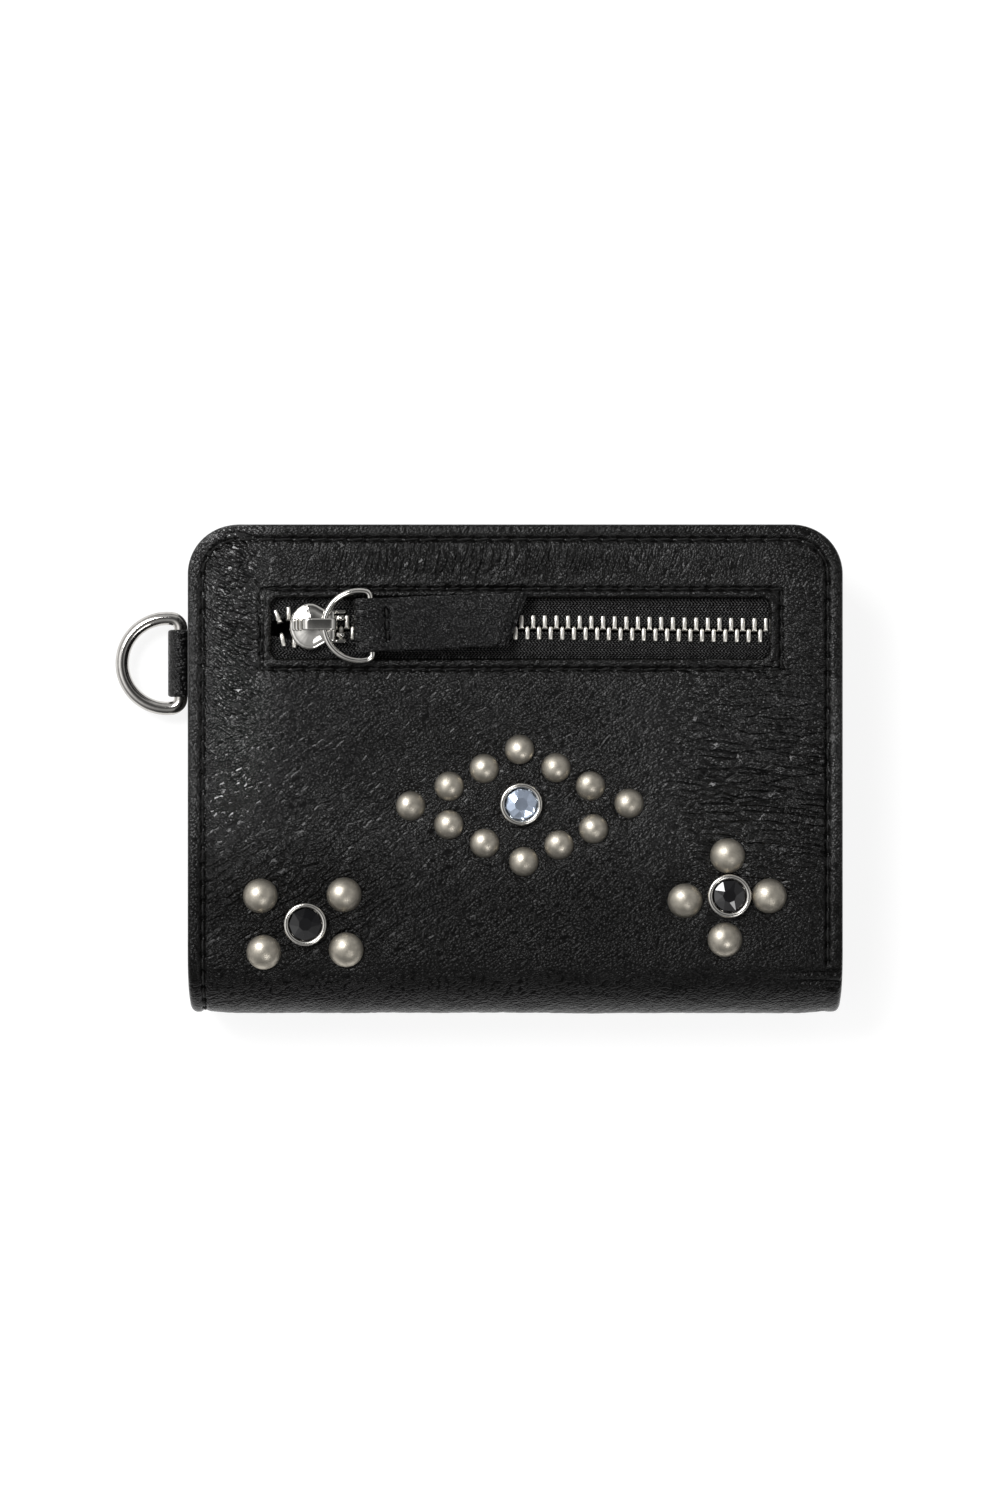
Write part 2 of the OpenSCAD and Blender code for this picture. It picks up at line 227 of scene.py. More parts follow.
def new_object(name, points, faces, material, attributes, smooth_shade=True):
    """A mesh object from points in millimetres."""
    mesh = bpy.data.meshes.new(name)
    mesh.from_pydata((np.asarray(points, float) * MM).tolist(), [], [tuple(f) for f in faces])
    mesh.update()
    mesh.polygons.foreach_set("use_smooth", [smooth_shade] * len(mesh.polygons))
    for key, value in attributes.items():
        layer = mesh.attributes.new(key, "FLOAT_VECTOR", "POINT")
        layer.data.foreach_set("vector", np.asarray(value, np.float32).ravel())
    mesh.materials.append(material)
    obj = bpy.data.objects.new(name, mesh)
    bpy.context.scene.collection.objects.link(obj)
    return obj


def mesh_edit(obj, change):
    """Runs a change on an object's mesh as a bmesh."""
    bm = bmesh.new()
    bm.from_mesh(obj.data)
    change(bm)
    bm.to_mesh(obj.data)
    bm.free()


def weld(bm):
    """Joins the vertices that lie on each other, and drops loose ones."""
    bmesh.ops.remove_doubles(bm, verts=bm.verts, dist=0.004 * MM)
    bmesh.ops.delete(bm, geom=[v for v in bm.verts if not v.link_faces], context="VERTS")


def turn_outwards(bm):
    """Turns every face of a closed mesh outwards."""
    bmesh.ops.recalc_face_normals(bm, faces=bm.faces)


def solid(name, shape, material, body=None, node=None, flat=None, smooth_shade=True):
    """A closed piece from (points, faces), with the body it rides on, the CAD node it stands
    for and, for leather and cloth, the flat millimetres its grain is drawn in."""
    obj = new_object(name, *shape, material, {} if flat is None else {"flat": flat}, smooth_shade)
    mesh_edit(obj, turn_outwards)
    if body:
        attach(obj, body)
    if node:
        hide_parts(node)
    return obj


def grid_faces(rows, columns, closed=False):
    """Quads over a grid of rows by columns of points, closed round the columns if asked."""
    span = columns if closed else columns - 1
    return [(r * columns + c, r * columns + (c + 1) % columns,
             (r + 1) * columns + (c + 1) % columns, (r + 1) * columns + c)
            for r in range(rows - 1) for c in range(span)]


def tube(rows, columns, ends="capped"):
    """Faces of a tube of rings, with its two ends capped or joined to each other."""
    last = (rows - 1) * columns
    faces = grid_faces(rows, columns, closed=True)
    if ends == "capped":
        return faces + [tuple(range(columns - 1, -1, -1)), tuple(range(last, last + columns))]
    return faces + [(last + c, last + (c + 1) % columns, (c + 1) % columns, c) for c in range(columns)]


def slab(over, under):
    """Points and faces of a closed slab between two grids of points."""
    rows, columns, _ = over.shape
    count = rows * columns
    faces = grid_faces(rows, columns)
    faces += [tuple(count + i for i in f[::-1]) for f in faces]
    rim = list(range(columns)) + [columns * (r + 1) - 1 for r in range(1, rows)]
    rim += [count - 1 - c for c in range(1, columns)] + [columns * r for r in range(rows - 2, 0, -1)]
    faces += [(rim[k - 1], rim[k], count + rim[k], count + rim[k - 1]) for k in range(len(rim))]
    return np.concatenate([over.reshape(-1, 3), under.reshape(-1, 3)]), faces


def flat_of(across, along):
    """Flat millimetres for both faces of a slab."""
    flat = np.stack([across, along, np.zeros_like(across)], -1).reshape(-1, 3)
    return np.concatenate([flat, flat])


def lathe(profile, at, segments=48, tilt=(0.0, 0.0)):
    """Points and faces of a profile of (radius, height) turned about Z at a point."""
    turn = np.linspace(0, 2 * math.pi, segments, endpoint=False)
    points = np.concatenate([np.stack([r * np.cos(turn), r * np.sin(turn), np.full(segments, z)], 1)
                             for r, z in profile])
    points[:, 2] += points[:, 0] * tilt[0] + points[:, 1] * tilt[1]
    *faces, first, last = tube(len(profile), segments)
    faces += [cap for cap, (r, _) in ((first, profile[0]), (last, profile[-1])) if r < 0.02]
    return points + np.array(at), [f[::-1] for f in faces]


def merged(parts):
    """Joins (points, faces) pairs into one."""
    points, faces, base = [], [], 0
    for p, f in parts:
        points.append(p)
        faces += [tuple(base + i for i in face) for face in f]
        base += len(p)
    return np.concatenate(points), faces


def sweep(path, section, closed=False, ups=(0.0, 0.0, 1.0), scales=1.0):
    """Points and faces of a section of (side, up) points carried along a path."""
    path, section = np.asarray(path, float), np.asarray(section, float)
    ahead = unit(np.roll(path, -1, 0) - np.roll(path, 1, 0) if closed else np.gradient(path, axis=0))
    side = unit(np.cross(ups, ahead))
    up = np.cross(ahead, side)
    size = np.broadcast_to(scales, len(path))[:, None, None]
    points = path[:, None] + size * (section[:, 0, None] * side[:, None] + section[:, 1, None] * up[:, None])
    return points.reshape(-1, 3), tube(len(path), len(section), "joined" if closed else "capped")


def pillow(outline, z_low, z_high, roll, dome=0.0, bevel=None):
    """Points and faces of a plate with rounded edges and a slightly domed top."""
    centre = outline.mean(0)
    reach = np.linalg.norm(outline - centre, axis=1)
    bevel = roll if bevel is None else bevel
    foot = min(roll, 0.25)
    rings = [(foot * (1 - math.sin(a)), z_low + foot * (1 - math.cos(a)))
             for a in np.linspace(0, math.pi / 2, 5)]
    rings += [(bevel * (1 - math.cos(a)), z_high - roll + roll * math.sin(a))
              for a in np.linspace(0, math.pi / 2, 9)]
    rings = [(centre + (outline - centre) * ((reach - inset) / reach)[:, None], z) for inset, z in rings]
    inner = rings[-1][0]
    rings += [(centre + (inner - centre) * share, z_high + dome * (1 - share * share))
              for share in (0.85, 0.65, 0.4, 0.15)]
    points = [np.column_stack([ring, np.full(len(ring), z)]) for ring, z in rings]
    return np.concatenate(points), tube(len(points), len(outline))


# ---------------------------------------------------------------- materials


class Nodes:
    """Short way to write the node tree of a material or a world."""

    def __init__(self, owner, shader="Principled BSDF"):
        owner.use_nodes = True
        self.owner = owner
        self.tree = owner.node_tree
        self.shader = self.tree.nodes[shader]

    def add(self, kind, inputs=None, **settings):
        node = self.tree.nodes.new(kind)
        for key, value in settings.items():
            setattr(node, key, value)
        for key, value in (inputs or {}).items():
            self.put(node, key, value)
        return node

    def put(self, node, key, value):
        socket = node.inputs[key]
        if isinstance(value, bpy.types.NodeSocket):
            self.tree.links.new(value, socket)
        else:
            socket.default_value = value

    def math(self, operation, a, b=0.0):
        return self.add("ShaderNodeMath", {0: a, 1: b}, operation=operation).outputs[0]

    def vector(self, operation, a, b):
        return self.add("ShaderNodeVectorMath", {0: a, 1: b}, operation=operation)

    def cell_space(self, vector, turn, size):
        """Coordinates that count cells of a size (along, across, through), turned by degrees."""
        return self.add("ShaderNodeMapping", {"Vector": vector, "Rotation": (0, 0, math.radians(turn)),
                                              "Scale": size}, vector_type="TEXTURE").outputs[0]

    def noise(self, vector, scale, detail=2.0, rough=0.5):
        return self.add("ShaderNodeTexNoise", {"Vector": vector, "Scale": scale, "Detail": detail,
                                               "Roughness": rough}).outputs[0]

    def cells(self, vector, feature="DISTANCE_TO_EDGE", randomness=1.0):
        return self.add("ShaderNodeTexVoronoi", {"Vector": vector, "Scale": 1.0, "Randomness": randomness},
                        feature=feature).outputs["Distance"]

    def bands(self, vector, scale, distortion=0.0, detail=2.0):
        return self.add("ShaderNodeTexWave", {"Vector": vector, "Scale": scale, "Distortion": distortion,
                                              "Detail": detail},
                        wave_type="BANDS", bands_direction="X").outputs["Fac"]

    def ramp(self, value, *stops):
        """A colour from a value, through stops of (value, colour)."""
        node = self.add("ShaderNodeValToRGB", {0: value})
        elements = node.color_ramp.elements
        while len(elements) < len(stops):
            elements.new(0.5)
        for element, (place, colour) in zip(elements, stops):
            element.position = place
            element.color = (*colour, 1.0)
        return node.outputs[0]

    def remap(self, value, low, high, to_low, to_high):
        return self.add("ShaderNodeMapRange", {0: value, 1: low, 2: high, 3: to_low, 4: to_high}).outputs[0]

    def mix(self, factor, a, b):
        return self.add("ShaderNodeMix", {"Factor": factor, 2: a, 3: b}, data_type="FLOAT").outputs[0]

    def attribute(self, name):
        return self.add("ShaderNodeAttribute", attribute_name=name).outputs["Vector"]

    def object_place(self):
        return self.add("ShaderNodeTexCoord").outputs["Object"]

    def bump(self, height, distance_mm):
        return self.add("ShaderNodeBump", {"Height": height, "Distance": distance_mm * MM,
                                           "Strength": 1.0}).outputs[0]

    def finish(self, **sockets):
        for key, value in sockets.items():
            self.put(self.shader, key.replace("_", " "), value)
        return self.owner


def material_nodes(name):
    """The node tree of a new material."""
    return Nodes(bpy.data.materials.new(name))


def shade(colour, share):
    """A colour made darker or lighter."""
    return tuple(share * c for c in colour)


def leather_material(name, colour, grain, zoned=False):
    """Fine-grained black sheepskin. flat holds the leather's own flat millimetres. Where it is
    zoned, lie says where the grain falls to the right, lies level or stands upright, and feel
    holds how coarse the grain is, how deep its wrinkles are and how much it shines."""
    n = material_nodes(name)
    flat = n.attribute("flat")
    wander = n.add("ShaderNodeTexNoise", {"Vector": flat, "Scale": 0.16, "Detail": 2.0})
    bent = n.vector("MULTIPLY", wander.outputs["Color"], (1.8, 1.8, 0.0)).outputs[0]
    place = n.vector("ADD", flat, bent).outputs[0]

    def layer(angle, stretch, pitch):
        pebble = n.cell_space(place, angle, (pitch * stretch, pitch, pitch))
        fold = n.cell_space(place, angle, (8.0 * pitch * stretch, 3.2 * pitch, pitch))
        dome = n.math("POWER", n.cells(pebble, "F1"), 2.0)
        return n.remap(dome, 0.0, 0.45, 1.0, 0.0), n.remap(n.cells(fold), 0.0, 0.16, 0.0, 1.0)

    cell, valley = layer(33, 1.45, 0.42)
    coarse, deep, shine = 1.0, 0.25, 0.36
    if zoned:
        lie = n.add("ShaderNodeSeparateXYZ", {0: n.attribute("lie")})
        feel = n.add("ShaderNodeSeparateXYZ", {0: n.attribute("feel")})
        for share, run in zip(lie.outputs, ((-33, 1.6, 0.68), (-4, 1.6, 0.44), (76, 1.5, 0.42))):
            other, fold = layer(*run)
            cell, valley = n.mix(share, cell, other), n.mix(share, valley, fold)
        coarse, deep = feel.outputs[0], feel.outputs[1]
        shine = n.math("MULTIPLY", feel.outputs[2], 0.26)
    fine = n.noise(place, 4.6, 3.0, 0.62)
    patches = n.noise(flat, 0.085, 3.0, 0.55)
    depth = n.math("MULTIPLY", n.remap(patches, 0.32, 0.66, 0.7, 1.05), coarse)
    height = n.math("ADD", n.math("MULTIPLY", cell, depth), n.math("MULTIPLY", fine, 0.13))
    height = n.math("ADD", height, n.math("MULTIPLY", valley, n.math("MULTIPLY", deep, 1.5)))
    normal = n.bump(height, 0.25 * grain)
    rough = n.remap(n.math("ADD", n.noise(flat, 0.35), n.math("MULTIPLY", cell, 0.4)),
                    0.35, 1.0, 0.28, 0.20)
    tone = n.ramp(n.math("ADD", n.math("MULTIPLY", cell, 0.6), n.math("MULTIPLY", patches, 0.4)),
                  (0.15, shade(colour, 0.4)), (0.55, colour), (0.9, shade(colour, 1.6)))
    return n.finish(Base_Color=tone, Roughness=rough, Normal=normal, Specular_IOR_Level=shine)


def lining_material():
    """Twill: diagonal ribs crossed by the threads."""
    n = material_nodes("lining_twill")
    flat = n.attribute("flat")
    colour, pitch = (0.016, 0.016, 0.017), 0.42
    rib = n.bands(n.cell_space(flat, 45, (pitch, 3 * pitch, pitch)), 0.5, 0.4, 1.0)
    threads = n.cells(n.cell_space(flat, 0, (pitch, pitch, pitch)), "F1", 0.3)
    height = n.math("SUBTRACT", rib, n.math("MULTIPLY", threads, 0.6))
    lint = n.noise(flat, 1.3, 4.0, 0.6)
    tone = n.ramp(n.math("ADD", n.math("MULTIPLY", height, 0.4), n.math("MULTIPLY", lint, 0.6)),
                  (0.2, shade(colour, 0.4)), (0.75, shade(colour, 1.5)))
    return n.finish(Base_Color=tone, Roughness=n.remap(lint, 0.3, 0.7, 0.8, 0.95),
                    Normal=n.bump(height, 0.07), Sheen_Weight=0.15,
                    Specular_IOR_Level=n.remap(height, 0.0, 0.8, 0.025, 0.475))


def tape_material():
    """Herringbone tape: slanted threads in narrow columns, with dark gaps between them."""
    n = material_nodes("zip_tape_weave")
    flat = n.attribute("flat")
    split = n.add("ShaderNodeSeparateXYZ", {0: flat})
    lean = n.math("ADD", split.outputs[0], n.math("PINGPONG", split.outputs[1], 0.75))
    rib = n.math("COSINE", n.math("MULTIPLY", lean, 2 * math.pi / 0.60))
    thread = n.math("COSINE", n.math("MULTIPLY", split.outputs[1], 2 * math.pi / 0.375))
    lint = n.noise(flat, 2.2, 3.0, 0.6)
    height = n.math("ADD", n.math("MULTIPLY", rib, 0.5), n.math("MULTIPLY", thread, 0.25))
    height = n.math("ADD", height, lint)
    tone = n.ramp(height, (0.2, (0.0006, 0.0006, 0.0006)), (0.95, (0.0075, 0.0074, 0.0074)))
    return n.finish(Base_Color=tone, Roughness=0.45, Normal=n.bump(height, 0.03),
                    Specular_IOR_Level=n.remap(height, 0.25, 0.95, 0.0, 0.55))


def metal_material(name, colour, rough, dirt, scratch_mm):
    """Plated metal with fine handling marks and a little tarnish in patches."""
    n = material_nodes(name)
    place = n.object_place()
    patches = n.noise(place, 620.0, 4.0, 0.6)
    marks = n.noise(n.cell_space(place, 27, (0.7 * MM, 0.11 * MM, 0.25 * MM)), 1.0)
    tone = n.ramp(patches, (0.30, shade(colour, dirt)), (0.62, colour))
    wear = n.math("ADD", n.math("MULTIPLY", patches, 0.6), n.math("MULTIPLY", marks, 0.4))
    return n.finish(Base_Color=tone, Metallic=1.0, Normal=n.bump(marks, scratch_mm),
                    Roughness=n.remap(wear, 0.3, 0.7, rough * 1.35, rough * 0.8))


def thread_material():
    """Waxed black thread with its twist."""
    n = material_nodes("black_thread")
    twist = n.bands(n.cell_space(n.object_place(), 38, (0.5 * MM, 0.5 * MM, 0.5 * MM)), 1.0)
    tone = n.ramp(twist, (0.2, (0.003, 0.003, 0.003)), (0.9, (0.011, 0.0105, 0.010)))
    return n.finish(Base_Color=tone, Roughness=n.remap(twist, 0.0, 1.0, 0.62, 0.36),
                    Normal=n.bump(twist, 0.05), Specular_IOR_Level=0.35)


def glass_material(name, colour, rough, metallic):
    """Cut glass: black, or with a foil behind it that shows as metal."""
    n = material_nodes(name)
    cloud = n.noise(n.object_place(), 700.0)
    tone = n.ramp(cloud, (0.3, shade(colour, 0.85)), (0.7, colour))
    return n.finish(Base_Color=tone, Metallic=metallic, IOR=1.56, Specular_IOR_Level=0.9,
                    Roughness=n.remap(cloud, 0.3, 0.7, rough * 0.7, rough))


LEATHER = leather_material("black_leather", (0.0030, 0.0028, 0.0027), 1.0, zoned=True)
PULL_LEATHER = leather_material("pull_leather", (0.0045, 0.0043, 0.0046), 0.95)
INNER_LEATHER = leather_material("inner_leather", (0.0060, 0.0058, 0.0058), 0.7)
LINING = lining_material()
TAPE = tape_material()
NICKEL = metal_material("polished_nickel", (0.84, 0.82, 0.78), 0.085, 0.80, 0.004)
RING_NICKEL = metal_material("ring_nickel", (0.62, 0.60, 0.575), 0.12, 0.78, 0.004)
BEZEL_NICKEL = metal_material("bezel_nickel", (0.70, 0.68, 0.64), 0.17, 0.74, 0.006)
TEETH = metal_material("zip_nickel", (0.93, 0.90, 0.84), 0.34, 0.85, 0.003)
ANTIQUE = metal_material("antique_nickel", (0.56, 0.52, 0.445), 0.40, 0.60, 0.012)
THREAD = thread_material()
CRYSTAL = glass_material("crystal_foiled", (0.50, 0.58, 0.72), 0.09, 0.68)
JET = glass_material("jet_glass", (0.004, 0.004, 0.005), 0.05, 0.0)


# ---------------------------------------------------------------- outer leather

# The outer leather is one sheet. x runs across it, and v runs down it from the front's open
# edge (TOP_Y) over the fold (MID_V) to the back's open edge. A sign of 1 is the front's half
# and -1 the back's.


def own_v(v):
    """v counted from the nearer open edge, the same on both halves."""
    return np.where(v < MID_V, 2 * MID_V - v, v)


def half_v(w, sign):
    """v on one half of a height w that is counted from its own open edge."""
    return w if sign > 0 else 2 * MID_V - w


def edge_distance(x, v):
    """Distance to the leather's outline."""
    w = own_v(v)
    side, top = HALF_W - np.abs(x), TOP_Y - w
    cx, cy = np.abs(x) - (HALF_W - CORNER_R), w - (TOP_Y - CORNER_R)
    return np.where((cx > 0) & (cy > 0), CORNER_R - np.hypot(cx, cy), np.minimum(side, top))


def box_distance(x, y, box, r):
    """Signed distance to a rectangle with round corners, negative inside."""
    cx, cy = (box[0] + box[1]) / 2, (box[2] + box[3]) / 2
    qx = np.abs(x - cx) - (box[1] - box[0]) / 2 + r
    qy = np.abs(y - cy) - (box[3] - box[2]) / 2 + r
    return np.hypot(np.maximum(qx, 0), np.maximum(qy, 0)) + np.minimum(np.maximum(qx, qy), 0) - r


def seam_mask(x, v):
    """1 where the perimeter seam runs; the right seam stops short of the fold."""
    return np.where(x > 0, smooth(own_v(v) - SEAM_STOP + 0.5), 1.0)


def leather_lie(x, v):
    """Where the grain falls to the right, lies level and stands upright."""
    front = smooth((v - MID_V) / 6)
    falling = bell((x + 50) / 7) * smooth((v + 2) / 14) * front
    level = smooth((x - 14) / 22) * (0.35 + 0.65 * smooth((v + 34) / 16)) * smooth((36 - v) / 6) * front
    upright = bell((v - 37) / 5) * smooth((x + 44) / 12) * smooth((50 - x) / 12) * front
    return np.stack([falling, level, upright], -1)


def leather_feel(x, v):
    """How coarse the grain is, how deep its wrinkles are and how much it shines: handling has
    polished the left band, and the skin is duller by the fold."""
    front = smooth((v - MID_V) / 6)
    calm = smooth((edge_distance(x, v) - 2.2) / 1.5)
    band = bell((x + 51) / 5.5) * front
    coarse = 0.58 + (0.9 + 0.75 * smooth(v / 14)) * band * smooth((v + 24) / 18)
    coarse += 0.30 * bell((x - 48) / 10) * bell((v - 2) / 22)
    coarse += 0.22 * bell((x + 20) / 26) * bell((v - 3) / 12)
    coarse += 0.30 * bell((x - 46) / 9) * bell((v + 30) / 6) + 0.15 * bell((v - 37) / 4) * front
    deep = 0.16 + 0.5 * bell((x + 50) / 7) * smooth((v + 2) / 10)
    deep += 0.75 * (bell((v - 37.5) / 3.5) * bell((x + 8) / 24) + smooth((x - 20) / 18) * bell((v + 1) / 18))
    deep += 0.55 * bell((x + 40) / 20) * bell((v + 22) / 10)
    shine = 1.0 + 2.2 * band * smooth((v + 24) / 22)
    shine += 0.5 * smooth((x - 22) / 14) * bell((v - 2) / 22) - 0.42 * smooth((-10 - v) / 14)
    return np.stack([coarse * (0.6 + 0.4 * calm), deep * calm * front, shine], -1)


def wrinkles(x, v):
    """Creases of the skin: under the top edge, down the left band, along the right, over the
    middle and below the diamond, then on the back."""
    front, back = smooth((v - MID_V) / 4), smooth((MID_V - v) / 10)
    right = front * smooth((x - 22) / 20) * smooth((v + 26) / 14) * smooth((22 - v) / 12)
    top = front * bell((v - 37.5) / 3.4) * smooth((x + 40) / 20) * smooth((42 - x) / 20)
    left = front * bell((x + 51) / 6.0) * smooth((v + 6) / 8)
    middle = front * bell((x + 22) / 26) * bell((v + 2) / 17)
    low = front * bell((v + 22) / 12) * smooth((12 - x) / 20)
    runs = ((top, 0.13, (78, 6.0, 3.0, 21, 0.16)), (left, 0.24, (-30, 5, 2.2, 31, 0.20)),
            (right, 0.26, (-5, 15, 3.4, 41, 0.13)), (right, 0.12, (6, 9, 2.4, 42, 0.14)),
            (middle, 0.08, (34, 8, 2.8, 51, 0.16)), (low, 0.16, (33, 12, 3.2, 61, 0.14)),
            (back, 0.07, (20, 9, 2.4, 81)), (back, 0.05, (-30, 6, 1.7, 82)))
    return sum(zone * depth * creases(x, v, *run) for zone, depth, run in runs)


def leather_height(x, v):
    """Height of the leather's surface over its plain shape."""
    d = edge_distance(x, v)
    frame_d = box_distance(x, v, FRAME_SEAM, 0.6)
    window_d = box_distance(x, v, WINDOW, WINDOW_R)
    front = smooth((v - MID_V) / 4)
    seam = seam_mask(x, v)
    h = 0.30 * smooth((d - SEAM_INSET) / 5.5) - 0.06 * seam
    h += seam * (0.12 * bell((d - 1.35) / 0.75) - 0.40 * bell((d - SEAM_INSET) / 0.42))
    h += front * 0.20 * bell((window_d - 0.9) / 0.7)
    h -= front * (0.38 * bell(frame_d / 0.40) + 0.22 * bell(frame_d / 2.6))
    h -= hole_dips(x, v, (np.abs(d - SEAM_INSET) < 1.2) | (np.abs(frame_d) < 1.2))
    calm = smooth(d / 3.2) * smooth(np.abs(frame_d) / 2.0 + 0.15) * smooth(window_d / 2.2)
    h += calm * (0.16 * perlin(x / 21, v / 17, 11) + 0.07 * perlin(x / 8.5, v / 6.5, 12)
                 + 0.05 * perlin(x / 2.6, v / 2.1, 13) + wrinkles(x, v))
    fold = smooth(d / 3) * bell((v - MID_V) / 12)
    h += fold * (0.08 * creases(x, v, 58, 7, 1.4, 71) + 0.10 * perlin(x / 9, v / 4, 72))
    h += front * (right_end_fold(x, v) + curved_creases(x, v))
    for x0, y0, r in ALL_TRIM:
        away = np.hypot(x - x0, v - y0)
        h -= front * np.where(away < r + 4, 0.26 * bell(np.maximum(away - r, 0) / 0.9), 0)
    return h * smooth(d / 0.9 + 0.08)


def hole_dips(x, v, near):
    """Dips where the thread goes through the leather, worked out only near the seams."""
    dips = np.zeros(np.shape(x))
    w = own_v(v)
    for holes, used in ((SEAM_HOLES, near), (FRAME_HOLES, near & (v > MID_V))):
        if used.any():
            away = np.hypot(x[used][:, None] - holes[:, 0], w[used][:, None] - holes[:, 1])
            dips[used] += 0.40 * bell(away.min(1) / 0.46)
    return dips


def right_end_fold(x, v):
    """Two short creases where the right seam stops above the fold."""
    upper, lower = v + 36.7 + 0.04 * (x - 50), v + 38.4 + 0.06 * (x - 50)
    ridge = 0.22 * bell((v + 37.5) / 0.7) + 0.20 * bell((v + 34.8) / 1.6) + 0.14 * bell((v + 40.6) / 1.6)
    return bell((x - 57) / 9.5) * (ridge - 0.42 * bell(upper / 0.36) - 0.50 * bell(lower / 0.48))


def curved_creases(x, v):
    """Three long soft creases that bow across the right of the front."""
    total = 0.0
    for x0, y0, bow, lean, depth in ((38, 9.5, 0.020, 0.42, 0.15), (41, 3.5, 0.014, -0.12, 0.13),
                                     (46, -3.0, 0.010, -0.08, 0.12)):
        line = v - y0 - lean * (x - x0) - bow * (x - x0) ** 2
        total = total + depth * bell((x - x0) / 8.5) * (0.4 * bell((line - 1) / 0.8) - bell(line / 0.42))
    return total


def on_sheet(x, v, rise):
    """Where a point of the flat sheet lies on the closed wallet, rise above its surface. The
    fold's ends are rounded, and the sides bulge a little past the CAD's outline."""
    w = own_v(v)
    turn = np.clip((FOLD_Y - w) / FOLD_R, 0, math.pi / 2)
    ny, nz = -np.sin(turn), np.cos(turn)
    over = np.clip(np.abs(x) - (HALF_W - END_R), 0, END_R)
    rise = rise + (0.22 - END_R + np.sqrt(END_R ** 2 - over ** 2)) * np.sin(turn) ** 2
    x = x + np.where(x < 0, -0.62, 0.34) * smooth((np.abs(x) - 44) / 13)
    y = np.where(w > FOLD_Y, w, FOLD_Y + FOLD_R * ny) + ny * rise
    z = FOLD_R + FOLD_R * nz + nz * rise
    return np.stack([x, y, np.where(v < MID_V, BODY_T - z, z)], -1)


def on_leather(x, v, rise):
    """The same, with rise counted from the finished leather."""
    return on_sheet(x, v, rise + leather_height(x, v))


def sheet_half(w, inset=0.0, short=0.0):
    """Half the width, at each height w, of a sheet set in by inset all round. The last stretch
    of its corner, short of the end, keeps one width."""
    r = CORNER_R - inset
    over = np.clip(w - (TOP_Y - CORNER_R), 0, r - short)
    return HALF_W - CORNER_R + np.sqrt(r ** 2 - over ** 2)


def sheet_grid(sign):
    """Positions across and down one half of the sheet, close together where it turns sharply."""
    corner = TOP_Y - CORNER_R
    fine, coarse = 0.16, 0.40 if sign > 0 else 0.8
    start = MID_V + 0.02
    rims = [-HALF_W, SEAM_INSET - HALF_W], [HALF_W - SEAM_INSET, HALF_W]
    rows = [(FOLD_Y, corner, [corner + 5])]
    columns = [(-HALF_W, HALF_W, rims[0] + rims[1])]
    if sign > 0:
        left, right, low, high = WINDOW
        rows = [(FOLD_Y, low, [FRAME_SEAM[2], low]), (low, high, [low, high]),
                (high, corner, [high, FRAME_SEAM[3]])]
        columns = [(-HALF_W, left, rims[0] + [FRAME_SEAM[0]]), (left, right, [left, right]),
                   (right, HALF_W, [right, FRAME_SEAM[1]] + rims[1])]
    down = [np.array([MID_V, start]), graded(start, FOLD_Y, [SEAM_STOP - 3], 0.3, coarse)]
    down += [graded(*stretch, fine, coarse) for stretch in rows]
    down = joined(down + [corner + CORNER_R * np.sin(np.radians(np.linspace(0, 90, 46)))])
    down[-1] = TOP_Y - 1e-4  # just inside the outline
    return joined([graded(*stretch, fine, coarse) for stretch in columns]), down


def skin(x, v, shift=0.0):
    """The flat, lie and feel values of points of the leather, its grain shifted across."""
    flat = np.stack([x + shift, v, np.zeros_like(x)], -1)
    return [a.reshape(-1, 3) for a in (flat, leather_lie(x, v), leather_feel(x, v))]


def outer_leather(name, sign, *nodes):
    """One half of the outer leather with its turned edges."""
    across, down = sheet_grid(sign)
    x = across * (sheet_half(down) / HALF_W)[:, None]
    v = half_v(np.repeat(down[:, None], len(across), 1), sign)
    rise = leather_height(x, v) - rounded_fall(edge_distance(x, v), EDGE_R)
    faces = grid_faces(*x.shape)
    if sign > 0:
        window_d = box_distance(x, v, WINDOW, WINDOW_R)
        keep = window_d[1:, 1:] + window_d[:-1, 1:] + window_d[1:, :-1] + window_d[:-1, :-1] > 0
        x, v, rise = window_lip(x, v, rise, window_d, keep)
        faces = [f for f, kept in zip(faces, keep.ravel()) if kept]
    parts = [(on_sheet(x, v, rise).reshape(-1, 3), faces, *skin(x, v)), edge_skirt(sign)]
    if sign > 0:
        parts.append(window_skirt())
    points, faces = merged([part[:2] for part in parts])
    faces = faces if sign > 0 else [f[::-1] for f in faces]
    attributes = {key: np.concatenate([part[i] for part in parts])
                  for i, key in enumerate(("flat", "lie", "feel"), 2)}
    obj = new_object(name, points, faces, LEATHER, attributes)
    mesh_edit(obj, weld)
    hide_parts(*nodes)
    bend_over_fold(obj, sign)


def window_lip(x, v, rise, window_d, keep):
    """Moves the cut's stepped edge onto the window's outline and rolls it down."""
    kept, cut = np.zeros(x.shape, bool), np.zeros(x.shape, bool)
    for i, k in ((0, 0), (0, 1), (1, 0), (1, 1)):
        kept[i:i + keep.shape[0], k:k + keep.shape[1]] |= keep
        cut[i:i + keep.shape[0], k:k + keep.shape[1]] |= ~keep
    rim = kept & cut
    step = 0.01
    gx = (box_distance(x + step, v, WINDOW, WINDOW_R) - window_d) / step
    gy = (box_distance(x, v + step, WINDOW, WINDOW_R) - window_d) / step
    x = np.where(rim, x - gx * window_d, x)
    v = np.where(rim, v - gy * window_d, v)
    return x, v, rise - rounded_fall(np.where(rim, 0, np.maximum(window_d, 0)), EDGE_R)


